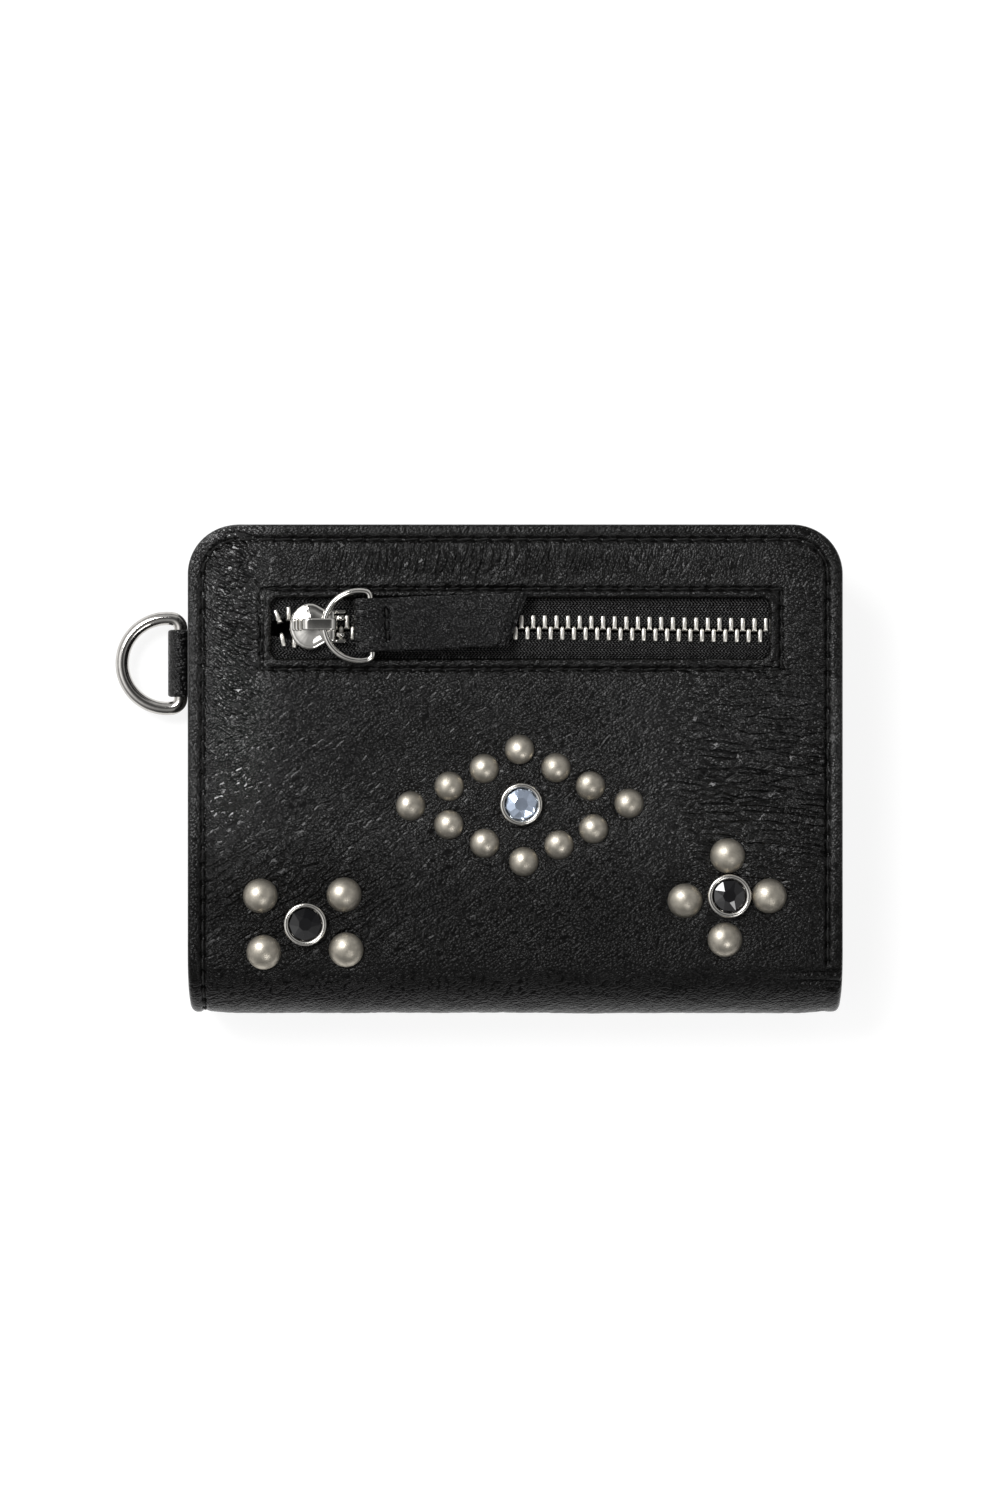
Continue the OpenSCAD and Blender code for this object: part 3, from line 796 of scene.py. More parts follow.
def skirt(loop, inward, steps, closed):
    """Strip from a list of (inset, rise) steps round a loop on the sheet."""
    rows = []
    for inset, rise in steps:
        x, v = (loop + inward * inset).T
        rows.append((on_sheet(x, v, rise), *skin(x, v, 31 + rise)))
    faces = grid_faces(len(steps), len(loop), closed=closed)
    points, *values = (np.concatenate(column) for column in zip(*rows))
    return points, faces if closed else [f[::-1] for f in faces], *values


def edge_skirt(sign):
    """Turned edge: round the rim, fold to fold, and a short way in under the leather."""
    x0, v0 = HALF_W - CORNER_R, TOP_Y - CORNER_R
    side = [(HALF_W, v) for v in np.linspace(MID_V, v0, 150)]
    top = [(x, TOP_Y) for x in np.linspace(x0, 0, 90)[1:]]
    out = arc(0, 0, 1, 0, 90, 30)[1:]
    half = np.concatenate([side, CORNER_R * out + (x0, v0), top])
    half_in = np.concatenate([[(-1.0, 0.0)] * len(side), -out, [(0.0, -1.0)] * len(top)])
    loop = np.concatenate([half, half[::-1][1:] * (-1, 1)])
    inward = np.concatenate([half_in, half_in[::-1][1:] * (-1, 1)]) * (1, sign)
    loop[:, 1] = half_v(loop[:, 1], sign)
    steps = [(0.0, -0.60), (0.0, -0.80), (0.07, -1.08), (0.25, -1.28), (0.5, -1.36), (2.5, -1.38),
             (6.5, -1.38)]
    return skirt(loop, inward, steps, False)


def window_skirt():
    """Turned edge of the window, in under the leather."""
    left, right, low, high = WINDOW
    outline = rounded_rect(right - left, high - low, WINDOW_R, 10, ((left + right) / 2, (low + high) / 2))
    loop = resampled(outline, 420)
    steps = [(0.0, -EDGE_R + 0.02), (0.0, -EDGE_R - 0.2), (0.08, -1.1), (0.3, -1.3), (1.4, -1.36)]
    return skirt(loop, -inward_of(loop), steps, True)


def bend_over_fold(obj, sign):
    """Bakes the piece's placement into its mesh; front and back pieces alike."""
    if sign > 0:
        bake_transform(obj)
    else:
        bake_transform(obj)


# ---------------------------------------------------------------- stitches


def seam_holes(path, pitch):
    """Where the thread of a seam goes through the leather."""
    total = lengths(path)[-1]
    return points_at(path, np.linspace(0, total, int(total / pitch) + 1))


def stitches(name, path, pitch, lift, thickness, share, seed, body=None, surface=on_leather):
    """Threads of a running seam along a path of (x, v) points."""
    dip = np.array([-0.42, -0.10, 0.02, 0.06, 0.02, -0.10, -0.42])
    thick = thickness * np.array([0.7, 0.95, 1.0, 1.0, 1.0, 0.95, 0.7])
    total = lengths(path)[-1]
    count = max(1, int(total / pitch))
    step = total / count
    rng = np.random.default_rng(seed)
    parts = []
    for i in range(count):
        span = share * step * (1 + 0.06 * rng.standard_normal())
        middle = (i + 0.5) * step + 0.05 * rng.standard_normal()
        skew = 0.10 * np.linspace(-1, 1, 7) * (1 + 0.5 * rng.standard_normal())
        x, v = points_at(path, middle + span * np.linspace(-0.5, 0.5, 7)).T
        ahead = unit(np.array([x[-1] - x[0], v[-1] - v[0]]))
        x, v = x - ahead[1] * skew, v + ahead[0] * skew
        rise = dip + lift + 0.03 * rng.standard_normal()
        points = surface(x, v, rise)
        size = thick * (1 + 0.05 * rng.standard_normal())
        parts.append(sweep(points, circle(1.0, 8), ups=surface(x, v, rise + 1) - points, scales=size))
    return solid(name, merged(parts), THREAD, body)


def seam_path(sign):
    """The perimeter seam of one half as (x, v) points."""
    r = CORNER_R - SEAM_INSET
    side, x, y = HALF_W - SEAM_INSET, HALF_W - CORNER_R, TOP_Y - CORNER_R
    path = np.vstack([(side, SEAM_STOP + 0.4), arc(x, y, r, 0, 90, 16), (0, TOP_Y - SEAM_INSET),
                      arc(-x, y, r, 90, 180, 16), (-side, MID_V + 0.4)])
    path = spread(path, 1200)
    path[:, 1] = half_v(path[:, 1], sign)
    return path


def frame_path():
    """The seam round the window; its left end leans a little."""
    x0, x1, y0, y1 = FRAME_SEAM
    return [(x0 - 0.5, y0), (x1, y0), (x1, y1), (x0 + 0.9, y1), (x0 - 0.5, y0)]


SEAM_HOLES = seam_holes(seam_path(1), SEAM_PITCH)
FRAME_HOLES = seam_holes(frame_path(), FRAME_PITCH)


def add_leather():
    """The outer leather's two halves and the seams in it."""
    outer_leather("leather_front", 1, "front_panel")
    outer_leather("leather_back", -1, "back_panel", "spine_panel")
    for name, sign, seed in (("seam_front", 1, 5), ("seam_back", -1, 7)):
        bend_over_fold(stitches(name, seam_path(sign), SEAM_PITCH, 0.05, 0.22, 0.86, seed), sign)
    stitches("seam_window", frame_path(), FRAME_PITCH, 0.05, 0.20, 0.86, 9, "front")


# ---------------------------------------------------------------- trim


def dome_profile(r, rise):
    """Stud from the middle of its top to the rim that bites the leather."""
    ball = (r * r + rise * rise) / (2 * rise)
    far = math.asin(min(1.0, 0.965 * r / ball))
    dome = [(ball * math.sin(a), rise - ball + ball * math.cos(a)) for a in np.linspace(0.004, far, 15)]
    foot = dome[-1][1]
    edge = [(0.985 * r, foot - 0.10), (r, foot - 0.20), (r, foot - 0.34), (0.97 * r, -0.34), (0.9 * r, -0.6)]
    return dome + edge


def stud_group(name, node, places, r, seed):
    """Dome studs, each set a little askew; those by the fold lean with the leather."""
    rng = np.random.default_rng(seed)
    parts = []
    for x, y in places:
        tilt = 0.035 * rng.standard_normal(2)
        if y < FOLD_Y + 1:
            tilt[1] = 0.07
        at = (x + 0.05 * rng.standard_normal(), y + 0.05 * rng.standard_normal(), BODY_T + 0.22)
        parts.append(lathe(dome_profile(r, 0.60 * r), at, 56, tilt))
    solid(name, merged(parts), ANTIQUE, "front", node)


def bezel(name, node, at, outer, inner):
    """Polished cup with a rolled rim."""
    rim = (outer - inner) / 2
    top = 1.12
    profile = [(outer - 0.1, -0.5), (outer, -0.3), (outer + 0.03, 0.2), (outer + 0.03, 0.8)]
    profile += [(outer - rim + rim * x, top + 0.75 * rim * y) for x, y in arc(0, 0, 1, 0, 180, 13)]
    profile += [(inner - 0.02, top - 0.15), (inner - 0.05, 0.4), (inner - 0.5, 0.25), (0.01, 0.25)]
    points, faces = lathe(profile, (*at, BODY_T), 72, (0.012, -0.01))
    solid(name, (points, [f[::-1] for f in faces]), BEZEL_NICKEL, "front", node)


def stone(name, node, at, r, turn, material, table, crown, wobble=0.0):
    """Faceted stone: an octagonal table, a row of crown facets and a round girdle."""
    sides, shoulder = 8, 0.80
    base = BODY_T + 0.55
    fall = crown * (shoulder - table) / (math.cos(math.pi / sides) - table)  # keeps each kite facet flat
    heights = base + crown - fall + wobble * np.random.default_rng(12).standard_normal(sides)
    rings = ((table, 0.5, base + crown), (shoulder, 0.5, heights), (1.0, 1.0, base), (1.0, 1.0, base - 0.2))
    points = [[(*at, base + crown)]]
    for share, step, z in rings:
        start = turn + 360 * step / sides
        ring = arc(*at, share * r, start, start + 360, sides + 1)[:-1]
        points.append(np.column_stack([ring, z * np.ones(sides)]))
    faces = []
    inner, outer, girdle, foot = (1 + sides * k for k in range(4))
    for k in range(sides):
        n = (k + 1) % sides
        low = (k - 1) % sides
        faces += [(0, inner + k, inner + n), (inner + k, outer + k, girdle + k),
                  (inner + k, girdle + k, inner + n), (inner + n, girdle + k, outer + n),
                  (outer + k, girdle + low, girdle + k), (girdle + low, foot + low, foot + k, girdle + k)]
    faces.append(tuple(foot + k for k in range(sides)))
    solid(name, (np.concatenate(points), faces), material, "front", node, smooth_shade=False)


def add_trim():
    """The studs and the set stones."""
    stud_group("studs_diamond", "diamond_studs", DIAMOND_STUDS, SMALL_R, 3)
    stud_group("studs_left", "left_studs", LEFT_STUDS, LARGE_R, 4)
    stud_group("studs_right", "right_studs", RIGHT_STUDS, LARGE_R, 5)
    bezel("bezel_crystal", "crystal_bezel", DIAMOND, CRYSTAL_RIM, 3.02)
    bezel("bezel_left", "left_bezel", LEFT_GROUP, JET_RIM, 3.08)
    bezel("bezel_right", "right_bezel", RIGHT_GROUP, JET_RIM + 0.05, 3.08)
    stone("stone_crystal", "crystal_stone", DIAMOND, 2.9, 11, CRYSTAL, 0.42, 0.55, 0.07)
    stone("stone_left", "left_stone", LEFT_GROUP, 2.98, 90, JET, 0.40, 0.30)
    stone("stone_right", "right_stone", RIGHT_GROUP, 2.98, 113.5, JET, 0.40, 0.46)


# ---------------------------------------------------------------- zip

ZIP_Y = 25.3
TAPE_LOW, TAPE_HIGH = node_box("zip_tape_upper")
TAPE_Z = TAPE_HIGH[2]
TOOTH_PITCH = 2.098
TAPES_END = 44.4  # the two tapes are sewn together past here

# A tooth from its jaws to its head: the place along it, half its height there, and its width
# in the upper and in the lower row, whose heads are more pointed.
TOOTH = np.array([(-2.25, 0.60, 0.66, 0.66), (-2.20, 0.84, 0.76, 0.76), (-2.05, 0.93, 0.80, 0.80),
                  (-1.10, 0.96, 0.80, 0.80), (-0.72, 0.96, 0.80, 0.80), (-0.52, 0.94, 0.78, 0.80),
                  (-0.30, 0.92, 0.76, 0.78), (-0.10, 0.88, 0.80, 0.70), (0.10, 0.80, 1.02, 0.56),
                  (0.26, 0.62, 1.10, 0.42), (0.32, 0.40, 0.90, 0.30)])


def parted(x):
    """How far each row of teeth has parted from the centre line at x."""
    return np.interp(x, [-47, -43.6, -40.8, -38, -33], [0.45, 0.85, 1.55, 1.3, 0])


def zip_sag(x):
    """How far the zip dips below its straight line towards its right end."""
    return 0.5 * smooth(x / 46)


def zip_tape(name, node, side):
    """Woven tape with a corded edge; side is 1 above the teeth and -1 below."""
    t = joined([np.linspace(0.55, 6.4, 58), np.linspace(6.4, 12.4, 8)])
    xx, tt = np.meshgrid(np.linspace(TAPE_LOW[0], TAPE_HIGH[0], 600), t)
    zigzag = 0.75 * np.abs((tt / 0.75) % 2 - 1)
    rib = np.cos(2 * math.pi * (xx + zigzag) / 0.72)
    thread = np.cos(2 * math.pi * tt / 0.375)
    z = TAPE_Z - 0.06 + 0.10 * rib + 0.035 * thread * (1 + 0.5 * rib)
    z += 0.24 * bell((tt - 1.0) / 0.42) + 0.05 * perlin(xx / 3, tt / 2, 90 + side)
    z = np.where(tt > 5.7, np.minimum(z, TAPE_Z), z)
    closed = 0.55 * smooth((xx - TAPES_END) / 0.8) * smooth((2.2 - tt) / 1.6)
    y = ZIP_Y - zip_sag(xx) * smooth((6.4 - tt) / 4) + side * (tt - closed + 0.9 * parted(xx))
    shape = slab(np.stack([xx, y, z], -1), np.stack([xx, y, np.full_like(z, TAPE_LOW[2])], -1))
    obj = solid(name, shape, TAPE, "front", node, flat_of(xx, tt))


def tooth(x, side):
    """One metal tooth: jaws on the tape's cord, a neck and a flared or pointed head. It leans
    where the rows part."""
    rings = []
    for along, half, upper, lower in TOOTH:
        width = upper if side > 0 else lower
        section = rounded_rect(width, 2 * half, min(0.3, 0.48 * width, 0.9 * half))
        rings.append(np.column_stack([section[:, 0], np.full(len(section), along), section[:, 1]]))
    points = np.concatenate(rings)
    part = parted(x)
    lean = side * np.interp(x, [-47, -43.4, -41.2, -39, -36], [0.2, 0.42, 0.06, -0.12, 0])
    c, s = math.cos(lean), math.sin(lean)
    pivot = 1.2
    px = points[:, 0] * c + (points[:, 1] + pivot) * s
    py = (points[:, 1] + pivot) * c - points[:, 0] * s - pivot
    z = TAPE_Z - 0.3 + points[:, 2] + 0.12 * part * math.sin(3.1 * x)
    y0 = ZIP_Y + 0.15 - zip_sag(x)
    body = np.stack([x + px, y0 - side * (py - part), z], 1), tube(len(TOOTH), len(rings[0]))
    dimple = lathe([(0.0, 0.10), (0.13, 0.06), (0.17, -0.05), (0.17, -0.3), (0.0, -0.3)],
                   (x + 0.1 * s, y0 + side * (0.42 + part), TAPE_Z + 0.42), 12)
    return merged([body, dimple])


def zip_teeth(name, node, side, shift, count):
    """One row of teeth, shifted by a share of the pitch."""
    first = node_box("zip_teeth_upper")[0][0] + 0.55
    parts = [tooth(first + (i + shift) * TOOTH_PITCH, side) for i in range(count)]
    solid(name, merged(parts), TEETH, "front", node)


SLIDER_AT = (-36.95, 25.62)
SLIDER_TIP = -30.75
SLIDER_WALL = -35.6  # where the slider's side walls start


def slider_outline(shrink=0.0):
    """Top view of the slider's bell-shaped plate."""
    half = [(-3.85, 0.0), (-3.78, 0.75), (-3.55, 1.55), (-3.1, 2.5), (-2.4, 3.35), (-1.5, 3.95),
            (-0.5, 4.25), (0.4, 4.23), (1.2, 3.92), (1.9, 3.50), (2.6, 3.13), (3.4, 2.90), (4.2, 2.82),
            (4.4, 2.55), (4.45, 1.3)]
    shape = np.array(half + [(x, -y) for x, y in half[:0:-1]])
    return resampled(shape - shrink * unit(shape) + SLIDER_AT, 140)


def slider():
    """The slider's two plates with the walls, ears, noses and rivets between and on them."""
    low, high = node_box("slider_body")[0][2], node_box("slider_body")[1][2]
    plate = 0.8
    y0 = SLIDER_AT[1]
    parts = [pillow(slider_outline(), high - plate - 0.1, high - 0.05, 0.5, 0.62, 0.85),
             pillow(slider_outline(0.05), low, low + plate, 0.26)]
    for side in (1, -1):
        at = ((SLIDER_TIP + SLIDER_WALL) / 2, y0 + side * 2.62)
        wall = rounded_rect(SLIDER_TIP - SLIDER_WALL, 0.55, 0.2, 4, at)
        parts.append(pillow(wall, TAPE_Z + 0.32, high - 0.3, 0.14))
        parts.append(pillow(wall, low + 0.4, TAPE_LOW[2] - 0.18, 0.14))
        ear = rounded_rect(1.9, 0.5, 0.22, 5, (SLIDER_TIP - 0.8, y0 + side * 2.68))
        parts.append(pillow(ear, high - 0.8, high - 0.12, 0.22))
        nose = rounded_rect(1.5, 0.95, 0.42, 5, (SLIDER_TIP - 0.85, y0 + side * 1.52))
        parts.append(pillow(nose, high - 0.75, high - 0.02, 0.3, 0.05))
        parts.append(lathe([(0.0, 0.3), (0.30, 0.24), (0.42, 0.0), (0.42, -0.4), (0.0, -0.4)],
                           (SLIDER_TIP - 0.75, y0 + side * 1.5, high - 0.06), 24))
    neck = rounded_rect(1.4, 0.5, 0.2, 4, (-40.1, ZIP_Y - 0.22))
    parts.append(pillow(neck, low + 0.4, high - 0.4, 0.1))
    solid("slider_shell", merged(parts), NICKEL, "slider", "slider_body")


def slider_bridge():
    """Flat bar over the slider, held down by rounded steps at its closed end."""
    low, high = node_box("slider_bridge")
    foot, top = low[2] - 0.15, high[2] - 0.35
    y0 = SLIDER_AT[1] + 0.32
    corners = [(-38.35, foot), (-38.3, foot + 1.2), (-38.05, top - 0.35), (-37.5, top - 0.02),
               (-36.4, top + 0.02), (-34.4, top + 0.02), (-33.1, top - 0.06), (-32.55, top - 0.5),
               (-32.4, top - 1.3), (-32.4, foot)]
    path = softened(spread([(x, y0, z) for x, z in corners], 70), 4)
    section = [(b + 0.10 * (1 - (a / 1.08) ** 2) * (b > 0), a) for a, b in rounded_rect(2.15, 0.66, 0.30, 7)]
    parts = [sweep(path, section, ups=(0.0, 1.0, 0.0))]
    for x, z, r, half in ((-38.72, foot + 1.25, 0.30, 1.18), (-39.35, foot + 0.62, 0.36, 1.25),
                          (-39.95, foot + 0.1, 0.42, 1.15)):
        across = np.linspace(-half, half, 21)
        size = np.sqrt(np.clip(1 - (np.abs(across) / half) ** 8, 0.05, 1))
        parts.append(sweep([(x, y0 + a, z) for a in across], circle(r, 16), scales=size))
    core = rounded_rect(1.5, 1.9, 0.3, 4, (-39.0, y0))
    parts.append(pillow(core, foot - 0.1, foot + 0.75, 0.3))
    solid("slider_arch", merged(parts), NICKEL, "slider", "slider_bridge")


# ---------------------------------------------------------------- rings and straps


def d_path(centre, r, bar, corner, z, count=160):
    """Closed path of a D: an arc and a straight bar at bar to its right."""
    yc = math.sqrt((r - corner) ** 2 - (bar - corner) ** 2)
    turn = math.degrees(math.atan2(yc, bar - corner))
    low = arc(bar - corner, -yc, corner, -turn, 0, 14)[1:]
    straight = [(bar, -yc + 2 * yc * k / 20) for k in range(1, 20)]
    high = low[:0:-1] * (1, -1)
    loop = np.concatenate([arc(0, 0, r, turn, 360 - turn, 120), low, straight, high])
    return np.column_stack([resampled(loop, count) + centre, np.full(count, z)])


def chain_ring():
    """The D of thick wire that a chain hooks on to."""
    low, high = node_box("chain_ring")
    wire = (high[2] - low[2]) / 2
    r = (high[1] - low[1]) / 2 - wire
    centre = (low[0] + r + wire, (low[1] + high[1]) / 2)
    path = d_path(centre, r, high[0] - wire - centre[0], 1.8, (low[2] + high[2]) / 2)
    shape = sweep(path, circle(wire, 28), closed=True)
    solid("chain_ring_wire", shape, RING_NICKEL, "chain_ring", "chain_ring")


def strap_widths(half_w, count):
    """Positions across a strap, close together at its rounded edges."""
    return joined([np.linspace(-half_w, 0.5 - half_w, 5), np.linspace(0.5 - half_w, half_w - 0.5, count),
                   np.linspace(half_w - 0.5, half_w, 5)])


def strap_sides(path, across, half_t, relief, turn=1):
    """The outer and the inner face of a strap of half thickness half_t, whose side view runs
    along a path of (length, height): two grids of such pairs. The outer face, with the relief
    on it, is to the path's right, or to its left if turn is -1."""
    ahead = unit(np.gradient(path, axis=0))
    normal = turn * np.stack([ahead[:, 1], -ahead[:, 0]], 1)
    body = half_t - rounded_fall(across[-1] - np.abs(across), half_t)
    return [path[:, None] + normal[:, None] * lift[..., None] for lift in (body + relief, 0 * relief - body)]


def chain_tab():
    """Leather strip folded round the chain ring's bar, wrinkled where it turns."""
    low, high = node_box("chain_tab")
    y_mid, half_w = (low[1] + high[1]) / 2, (high[1] - low[1]) / 2
    r_out = (high[2] - low[2]) / 2
    half_t = 0.49
    r = r_out - half_t
    x0, z0 = low[0] + r_out, (low[2] + high[2]) / 2
    loop = arc(x0, z0, r, 62, 298, 60)
    lead = np.array([(loop[0, 0] + 0.5 * k, z0 + max(1.20 - half_t, loop[0, 1] - z0 - 0.55 * k))
                     for k in range(20, 0, -1)])
    tail = lead[::-1] * (1, -1) + (0, 2 * z0)
    path = np.concatenate([lead, loop, tail])
    w = strap_widths(half_w, 46)
    ss, ww = np.meshgrid(lengths(path), w, indexing="ij")
    wrinkle = 0.16 * creases(ss, ww, 4, 5.0, 1.5, 25, 0.16) + 0.08 * perlin(ss / 2, ww / 1.6, 26)
    sides = strap_sides(path, w, half_t, wrinkle * smooth(half_w - np.abs(ww)), -1)
    shape = slab(*(np.stack([side[..., 0], y_mid + ww, side[..., 1]], -1) for side in sides))
    solid("chain_tab_leather", shape, PULL_LEATHER, "back", "chain_tab", flat_of(ss, ww))


PULL_AT = np.array((-34.45, 25.45, 23.75))
PULL_TURN = math.radians(2.4)
PULL_BAR = 8.45
PULL_HALF = 4.85
STRIP_END = 38.2  # the lower layer's length before it is cut on the slant
STRIP_BEND = 12.0  # where the strip leaves its loop


def pulled(points):
    """From the pull's own frame to the wallet's."""
    points = np.asarray(points, float)
    c, s = math.cos(PULL_TURN), math.sin(PULL_TURN)
    x, y = points[..., 0], points[..., 1]
    return np.stack([x * c - y * s, x * s + y * c, points[..., 2]], -1) + PULL_AT


def pull_ring():
    """The D of thin wire in the slider's bridge."""
    r = 6.25
    path = pulled(d_path((r, 0.0), r, PULL_BAR - r, 1.05, 0.0, 140))
    solid("pull_ring_wire", sweep(path, circle(0.56), closed=True), NICKEL, "pull_ring", "pull_ring")


def strip_path():
    """Side view (length, height) of the folded strip and the layer of each point: 0 along the
    top, 1 round the loose loop and 2 back along the bottom. Heights are from the ring's wire."""
    top, low, step = 0.08, -0.70, 0.45
    upper = [(37.0 - k * step, top) for k in range(55)]
    loop = [(12.0, top), (11.2, top), (10.2, 0.22), (9.2, 0.62), (8.2, 0.92), (7.2, 1.0), (6.3, 0.82),
            (5.75, 0.35), (5.55, -0.2), (5.8, -0.72), (6.5, -1.0), (7.6, -1.04), (9.0, -1.0), (10.6, -0.95),
            (12.0, low)]
    lower = [(12.4 + k * step, low) for k in range(57)]
    loop = softened(spread(loop, 76), 6)
    return np.concatenate([upper, loop, lower]), np.repeat([0, 1, 2], [len(upper), len(loop), len(lower)])


def slanted(length, width, shorter):
    """Stretches the strip's far end so that it is cut on the slant."""
    end = 33.2 + (width + PULL_HALF) / (2 * PULL_HALF) * 4.4 - shorter
    share = (end - STRIP_BEND) / (STRIP_END - STRIP_BEND)
    return np.where(length > STRIP_BEND, STRIP_BEND + (length - STRIP_BEND) * share, length)


def tab_height(length, width, layer):
    """Surface of the strip: puckers at the stitch, a soft crown and a crease by the slant."""
    crown = 0.10 * (1 - (width / PULL_HALF) ** 2)
    stitch = 0.40 * bell((length - 11.3) / 0.5) * smooth((3.6 - np.abs(width)) / 0.8)
    ribs = creases(length * 0.6, width, 0, 2.2, 0.42, 15, 0.25)
    loop = (layer == 1) * (0.26 * ribs * bell((length - 6.9) / 1.9) + 0.10 * bell(width / 3.4))
    inset = slanted(37.0, width, 0.15) - slanted(length, width, 0.15)
    slant = 0.42 * smooth((1.35 - inset) / 0.3) - 0.10 * bell((inset - 1.6) / 0.35)
    surface = np.where(layer == 0, crown - slant, 0) - stitch * (layer < 2) + loop
    return surface + 0.05 * perlin(length / 3.5, width / 2.5, 17)


def pull_tab():
    """Leather strip folded round the pull ring and stitched, as one piece; only its stitches ride with the
    tab."""
    path, layer = strip_path()
    w = strap_widths(PULL_HALF, 90)
    layer = layer[:, None]
    ll, ww = np.meshgrid(path[:, 0], w, indexing="ij")
    flat = flat_of(np.repeat(lengths(path)[:, None], len(w), 1), ww)
    parts = []
    for side in strap_sides(path, w, 0.36, tab_height(ll, ww, layer)):
        x = np.where(layer == 1, side[..., 0], slanted(side[..., 0], ww, np.where(layer == 0, 0.15, 0.0)))
        parts.append(pulled(np.stack([x, ww, side[..., 1]], -1)))
    obj = solid("zip_pull_leather", slab(*parts), PULL_LEATHER, None, "pull_tab", flat)
    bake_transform(obj)
    stitches("zip_pull_stitches", [(11.35, -3.0), (11.35, 3.0)], 2.0, 0.20, 0.26, 0.8, 8, "pull_tab",
             lambda x, v, rise: pulled(np.stack([x, v, rise + 0.28], -1)))


def add_zip():
    """The zip with its slider and pull, and the chain ring in its tab."""
    zip_tape("tape_upper", "zip_tape_upper", 1)
    zip_tape("tape_lower", "zip_tape_lower", -1)
    zip_teeth("teeth_upper", "zip_teeth_upper", 1, 0.0, 43)
    zip_teeth("teeth_lower", "zip_teeth_lower", -1, 0.5, 42)
    slider()
    slider_bridge()
    pull_ring()
    pull_tab()
    chain_ring()
    chain_tab()


# ---------------------------------------------------------------- inside


def panel_outline(inset, low, high=None):
    """Outline of an inner layer; its top corners are round where no height stops it short."""
    half = HALF_W - inset
    if high is not None:
        return np.array([(-half, low), (half, low), (half, high), (-half, high)])
    r = CORNER_R - inset
    x, y = HALF_W - CORNER_R, TOP_Y - CORNER_R
    return np.vstack([(-half, low), (half, low), arc(x, y, r, 0, 90, 14), arc(-x, y, r, 90, 180, 14)])


def soft_plate(name, node, material, roll, mouth=False):
    """A leather or fabric layer in a CAD node's place, with rounded edges and a creased mouth."""
    low, high = node_box(node)
    in_back = low[2] < FOLD_R
    high_y = None if high[1] > TOP_Y - 5 else high[1]
    outline = resampled(panel_outline(HALF_W - high[0], low[1], high_y), 420)
    points, faces = pillow(outline, low[2] + 0.02, high[2] - 0.02, roll)
    if mouth:
        facing = 1 if in_back else -1
        outer = facing * (points[:, 2] - (low[2] + high[2]) / 2) > 0
        points[:, 2] -= facing * outer * 0.12 * bell((high[1] - points[:, 1] - 1.6) / 0.3)
    return solid(name, (points, faces), material, "back" if in_back else "front", node, points * (1, 1, 0))


def mouth_seam(name, node, body):
    """Thread along a card slot's mouth."""
    low, high = node_box(node)
    facing, z = (1, high[2]) if body == "back" else (-1, low[2])
    path = [(low[0] + 3, high[1] - 1.6), (high[0] - 3, high[1] - 1.6)]
    stitches(name, path, 3.0, 0.0, 0.2, 0.75, 6, body,
             lambda x, v, rise: np.stack([x, v, z + facing * (rise + 0.02)], -1))


def gusset():
    """Pleated wall round the coin pocket, folded inwards at half height."""
    low, high = node_box("coin_pocket_gusset")
    outline = resampled(panel_outline(HALF_W - high[0], low[1]), 420)
    inward = inward_of(outline)
    z_low, z_high = low[2] - 0.3, high[2] + 0.1
    rings = [(1.5 * math.sin(math.pi * t) ** 0.8 + 0.15, z_low + (z_high - z_low) * t)
             for t in np.linspace(0, 1, 17)]
    rings += [(inset + 0.8, z) for inset, z in rings[::-1]]
    n = len(outline)
    points = [np.column_stack([outline + inward * inset, np.full(n, z)]) for inset, z in rings]
    flat = [np.column_stack([0.9 * np.arange(n), np.full(n, z), np.zeros(n)]) for _, z in rings]
    solid("coin_pocket_wall", (np.concatenate(points), tube(len(rings), n, "joined")), INNER_LEATHER, "front",
          "coin_pocket_gusset", np.concatenate(flat))


def lining_sheet(name, node, sign, v_stop):
    """Twill on the inner face of the outer leather, as a thin sheet that bends at the fold."""
    rise, thick, inset = -1.46, 0.32, 1.2
    start, bend = MID_V + 0.03, 30
    w = joined([np.array([MID_V, start]), np.linspace(start, FOLD_Y, 26), np.linspace(FOLD_Y, v_stop, 14)])
    if v_stop > bend:
        w = joined([w[w <= bend], np.linspace(w[w <= bend][-1], v_stop, 16)])
    half = sheet_half(w, inset, 0.1)
    xx = np.linspace(-1, 1, 60) * half[:, None]
    vv = half_v(np.repeat(w[:, None], xx.shape[1], 1), sign)
    rise = rise + 0.05 * perlin(xx / 8, vv / 6, 33)
    shape = slab(on_sheet(xx, vv, rise), on_sheet(xx, vv, rise - thick))
    obj = solid(name, shape, LINING, None, node, flat_of(xx, vv))
    bend_over_fold(obj, sign)


def add_inside():
    """Inner leathers, card slots, the coin pocket's wall and the linings."""
    for half in ("back", "front"):
        soft_plate(half + "_inner_leather", half + "_inner_panel", INNER_LEATHER, 0.4)
        for i in (1, 2, 3):
            node = f"{half}_card_slot_{i}"
            soft_plate(f"{half}_slot_leather_{i}", node, INNER_LEATHER, 0.36, mouth=True)
            mouth_seam(f"{half}_slot_stitches_{i}", node, half)
    gusset()
    lining_sheet("lining_back", "back_lining", -1, TOP_Y - 1.2)
    lining_sheet("lining_fold", "spine_lining", 1, FOLD_Y + 2.5)
    twill = soft_plate("coin_pocket_twill", "coin_pocket_lining", LINING, 0.12)


def plain_nodes():
    """CAD nodes that stay as they are and only take a material."""
    for name, material in (("back_hem", INNER_LEATHER), ("zip_top_stops", NICKEL),
                           ("zip_bottom_stop", NICKEL)):
        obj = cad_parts[name]
        obj.data.materials.clear()
        obj.data.materials.append(material)


# ---------------------------------------------------------------- studio


def placed(name, data, at):
    """An object of the studio, in metres."""
    obj = bpy.data.objects.new(name, data)
    bpy.context.scene.collection.objects.link(obj)
    obj.location = at
    return obj


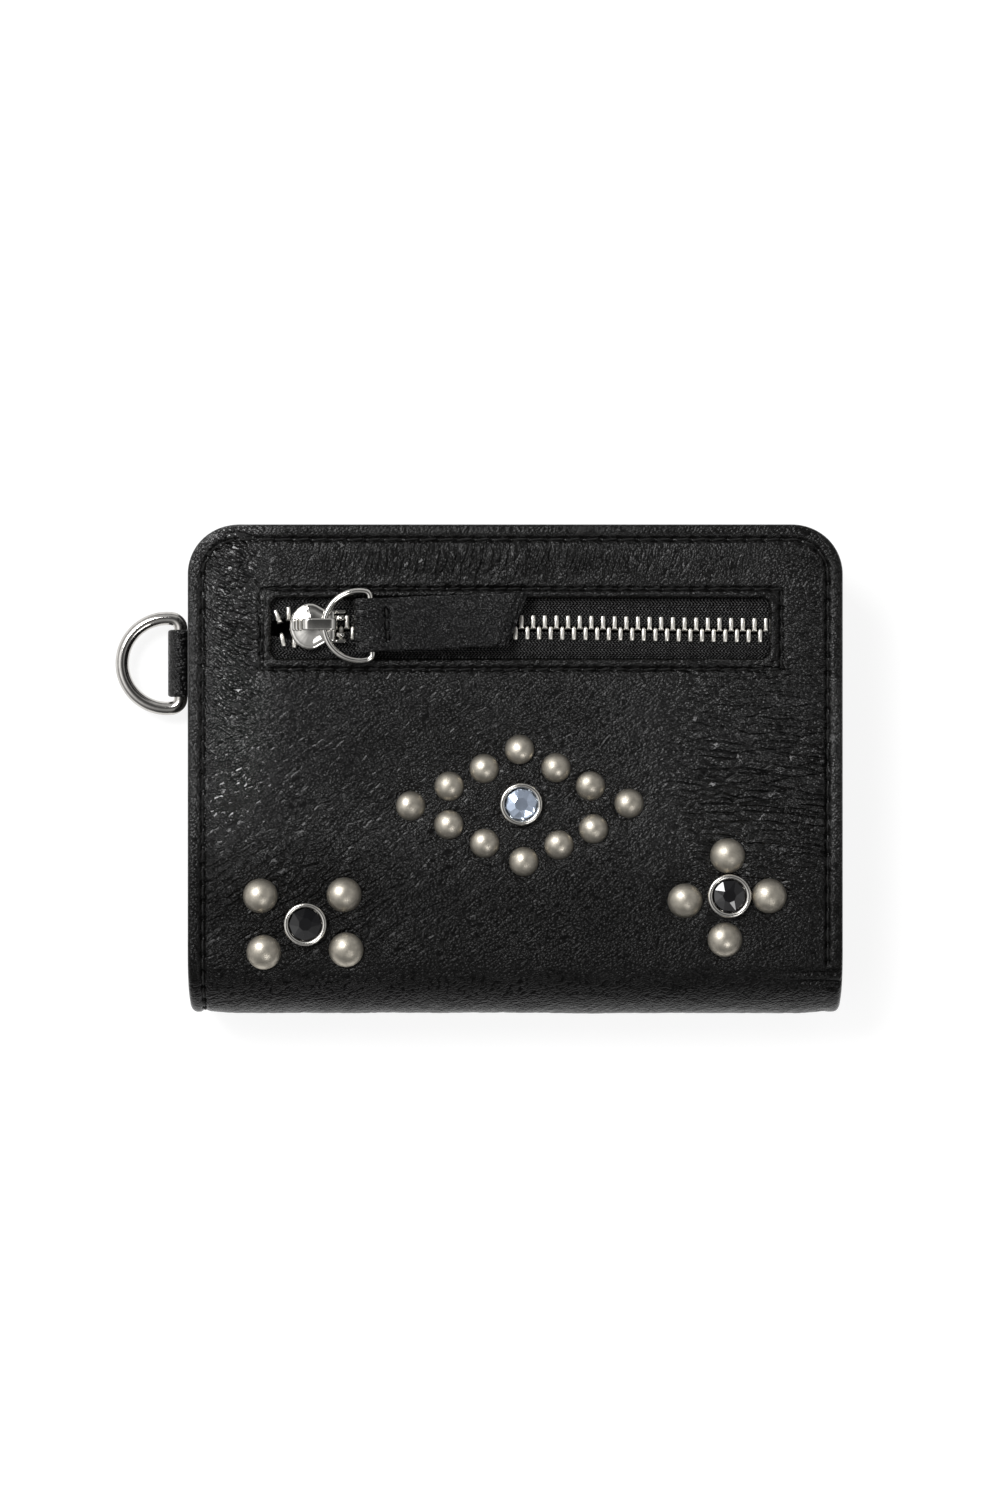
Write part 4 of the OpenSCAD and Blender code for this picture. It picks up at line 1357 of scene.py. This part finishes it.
def soft_light(name, place, size, power):
    """A square light that faces the wallet."""
    data = bpy.data.lights.new(name, "AREA")
    data.shape, data.size, data.energy = "SQUARE", size, power
    aim = Vector((0, 0, 0.01)) - Vector(place)
    placed(name, data, place).rotation_euler = aim.to_track_quat("-Z", "Y").to_euler()


def add_sky():
    """Studio room: a dark ceiling a little up the picture, over pale walls. The wall at the
    picture's foot is dimmer, and a softbox stands by the left one."""
    world = bpy.data.worlds.new("studio")
    n = Nodes(world, "Background")
    way = n.add("ShaderNodeTexCoord").outputs["Generated"]
    height = n.vector("DOT_PRODUCT", way, (0.08, 0.20, 0.976)).outputs["Value"]
    tones = ((0.04, 0.26), (0.16, 0.20), (0.42, 0.24), (0.60, 0.62), (0.83, 0.50), (0.94, 0.17),
             (0.985, 0.06))
    tone = n.ramp(height, *((place, (grey, grey, grey)) for place, grey in tones))
    split = n.add("ShaderNodeSeparateXYZ", {0: way})
    foot = n.remap(split.outputs["Y"], -0.75, -0.05, 0.42, 1.0)
    left = n.remap(split.outputs["X"], -0.66, -0.20, 2.5, 1.0)
    n.finish(Color=tone, Strength=n.math("MULTIPLY", foot, left))
    bpy.context.scene.world = world


def add_stage():
    """The pale floor, the room and two lights."""
    size = 3.0
    mesh = bpy.data.meshes.new("floor")
    corners = [(-size, -size, 0), (size, -size, 0), (size, size, 0), (-size, size, 0)]
    mesh.from_pydata(corners, [], [(0, 1, 2, 3)])
    n = material_nodes("floor_white")
    mesh.materials.append(n.finish(Base_Color=(0.26, 0.26, 0.26, 1), Roughness=0.9, Specular_IOR_Level=0.1,
                                   Emission_Color=(1, 1, 1, 1), Emission_Strength=0.84))
    placed("floor", mesh, (0, 0, -0.0004))
    add_sky()
    soft_light("key_up_left", (-0.50, 0.48, 1.00), 0.48, 10.0)
    soft_light("fill_low_right", (0.375, -0.65, 0.95), 0.38, 1.9)


def add_camera():
    """A long lens straight above, as in a product photograph."""
    data = bpy.data.cameras.new("camera")
    data.lens, data.sensor_width = 135.0, 36.0
    bpy.context.scene.camera = placed("camera", data, (-2.88 * MM, 3.1 * MM, BODY_T * MM + 1.0144))


bpy.context.scene.view_settings.view_transform = "Standard"
add_leather()
add_trim()
add_zip()
add_inside()
plain_nodes()
add_stage()
add_camera()
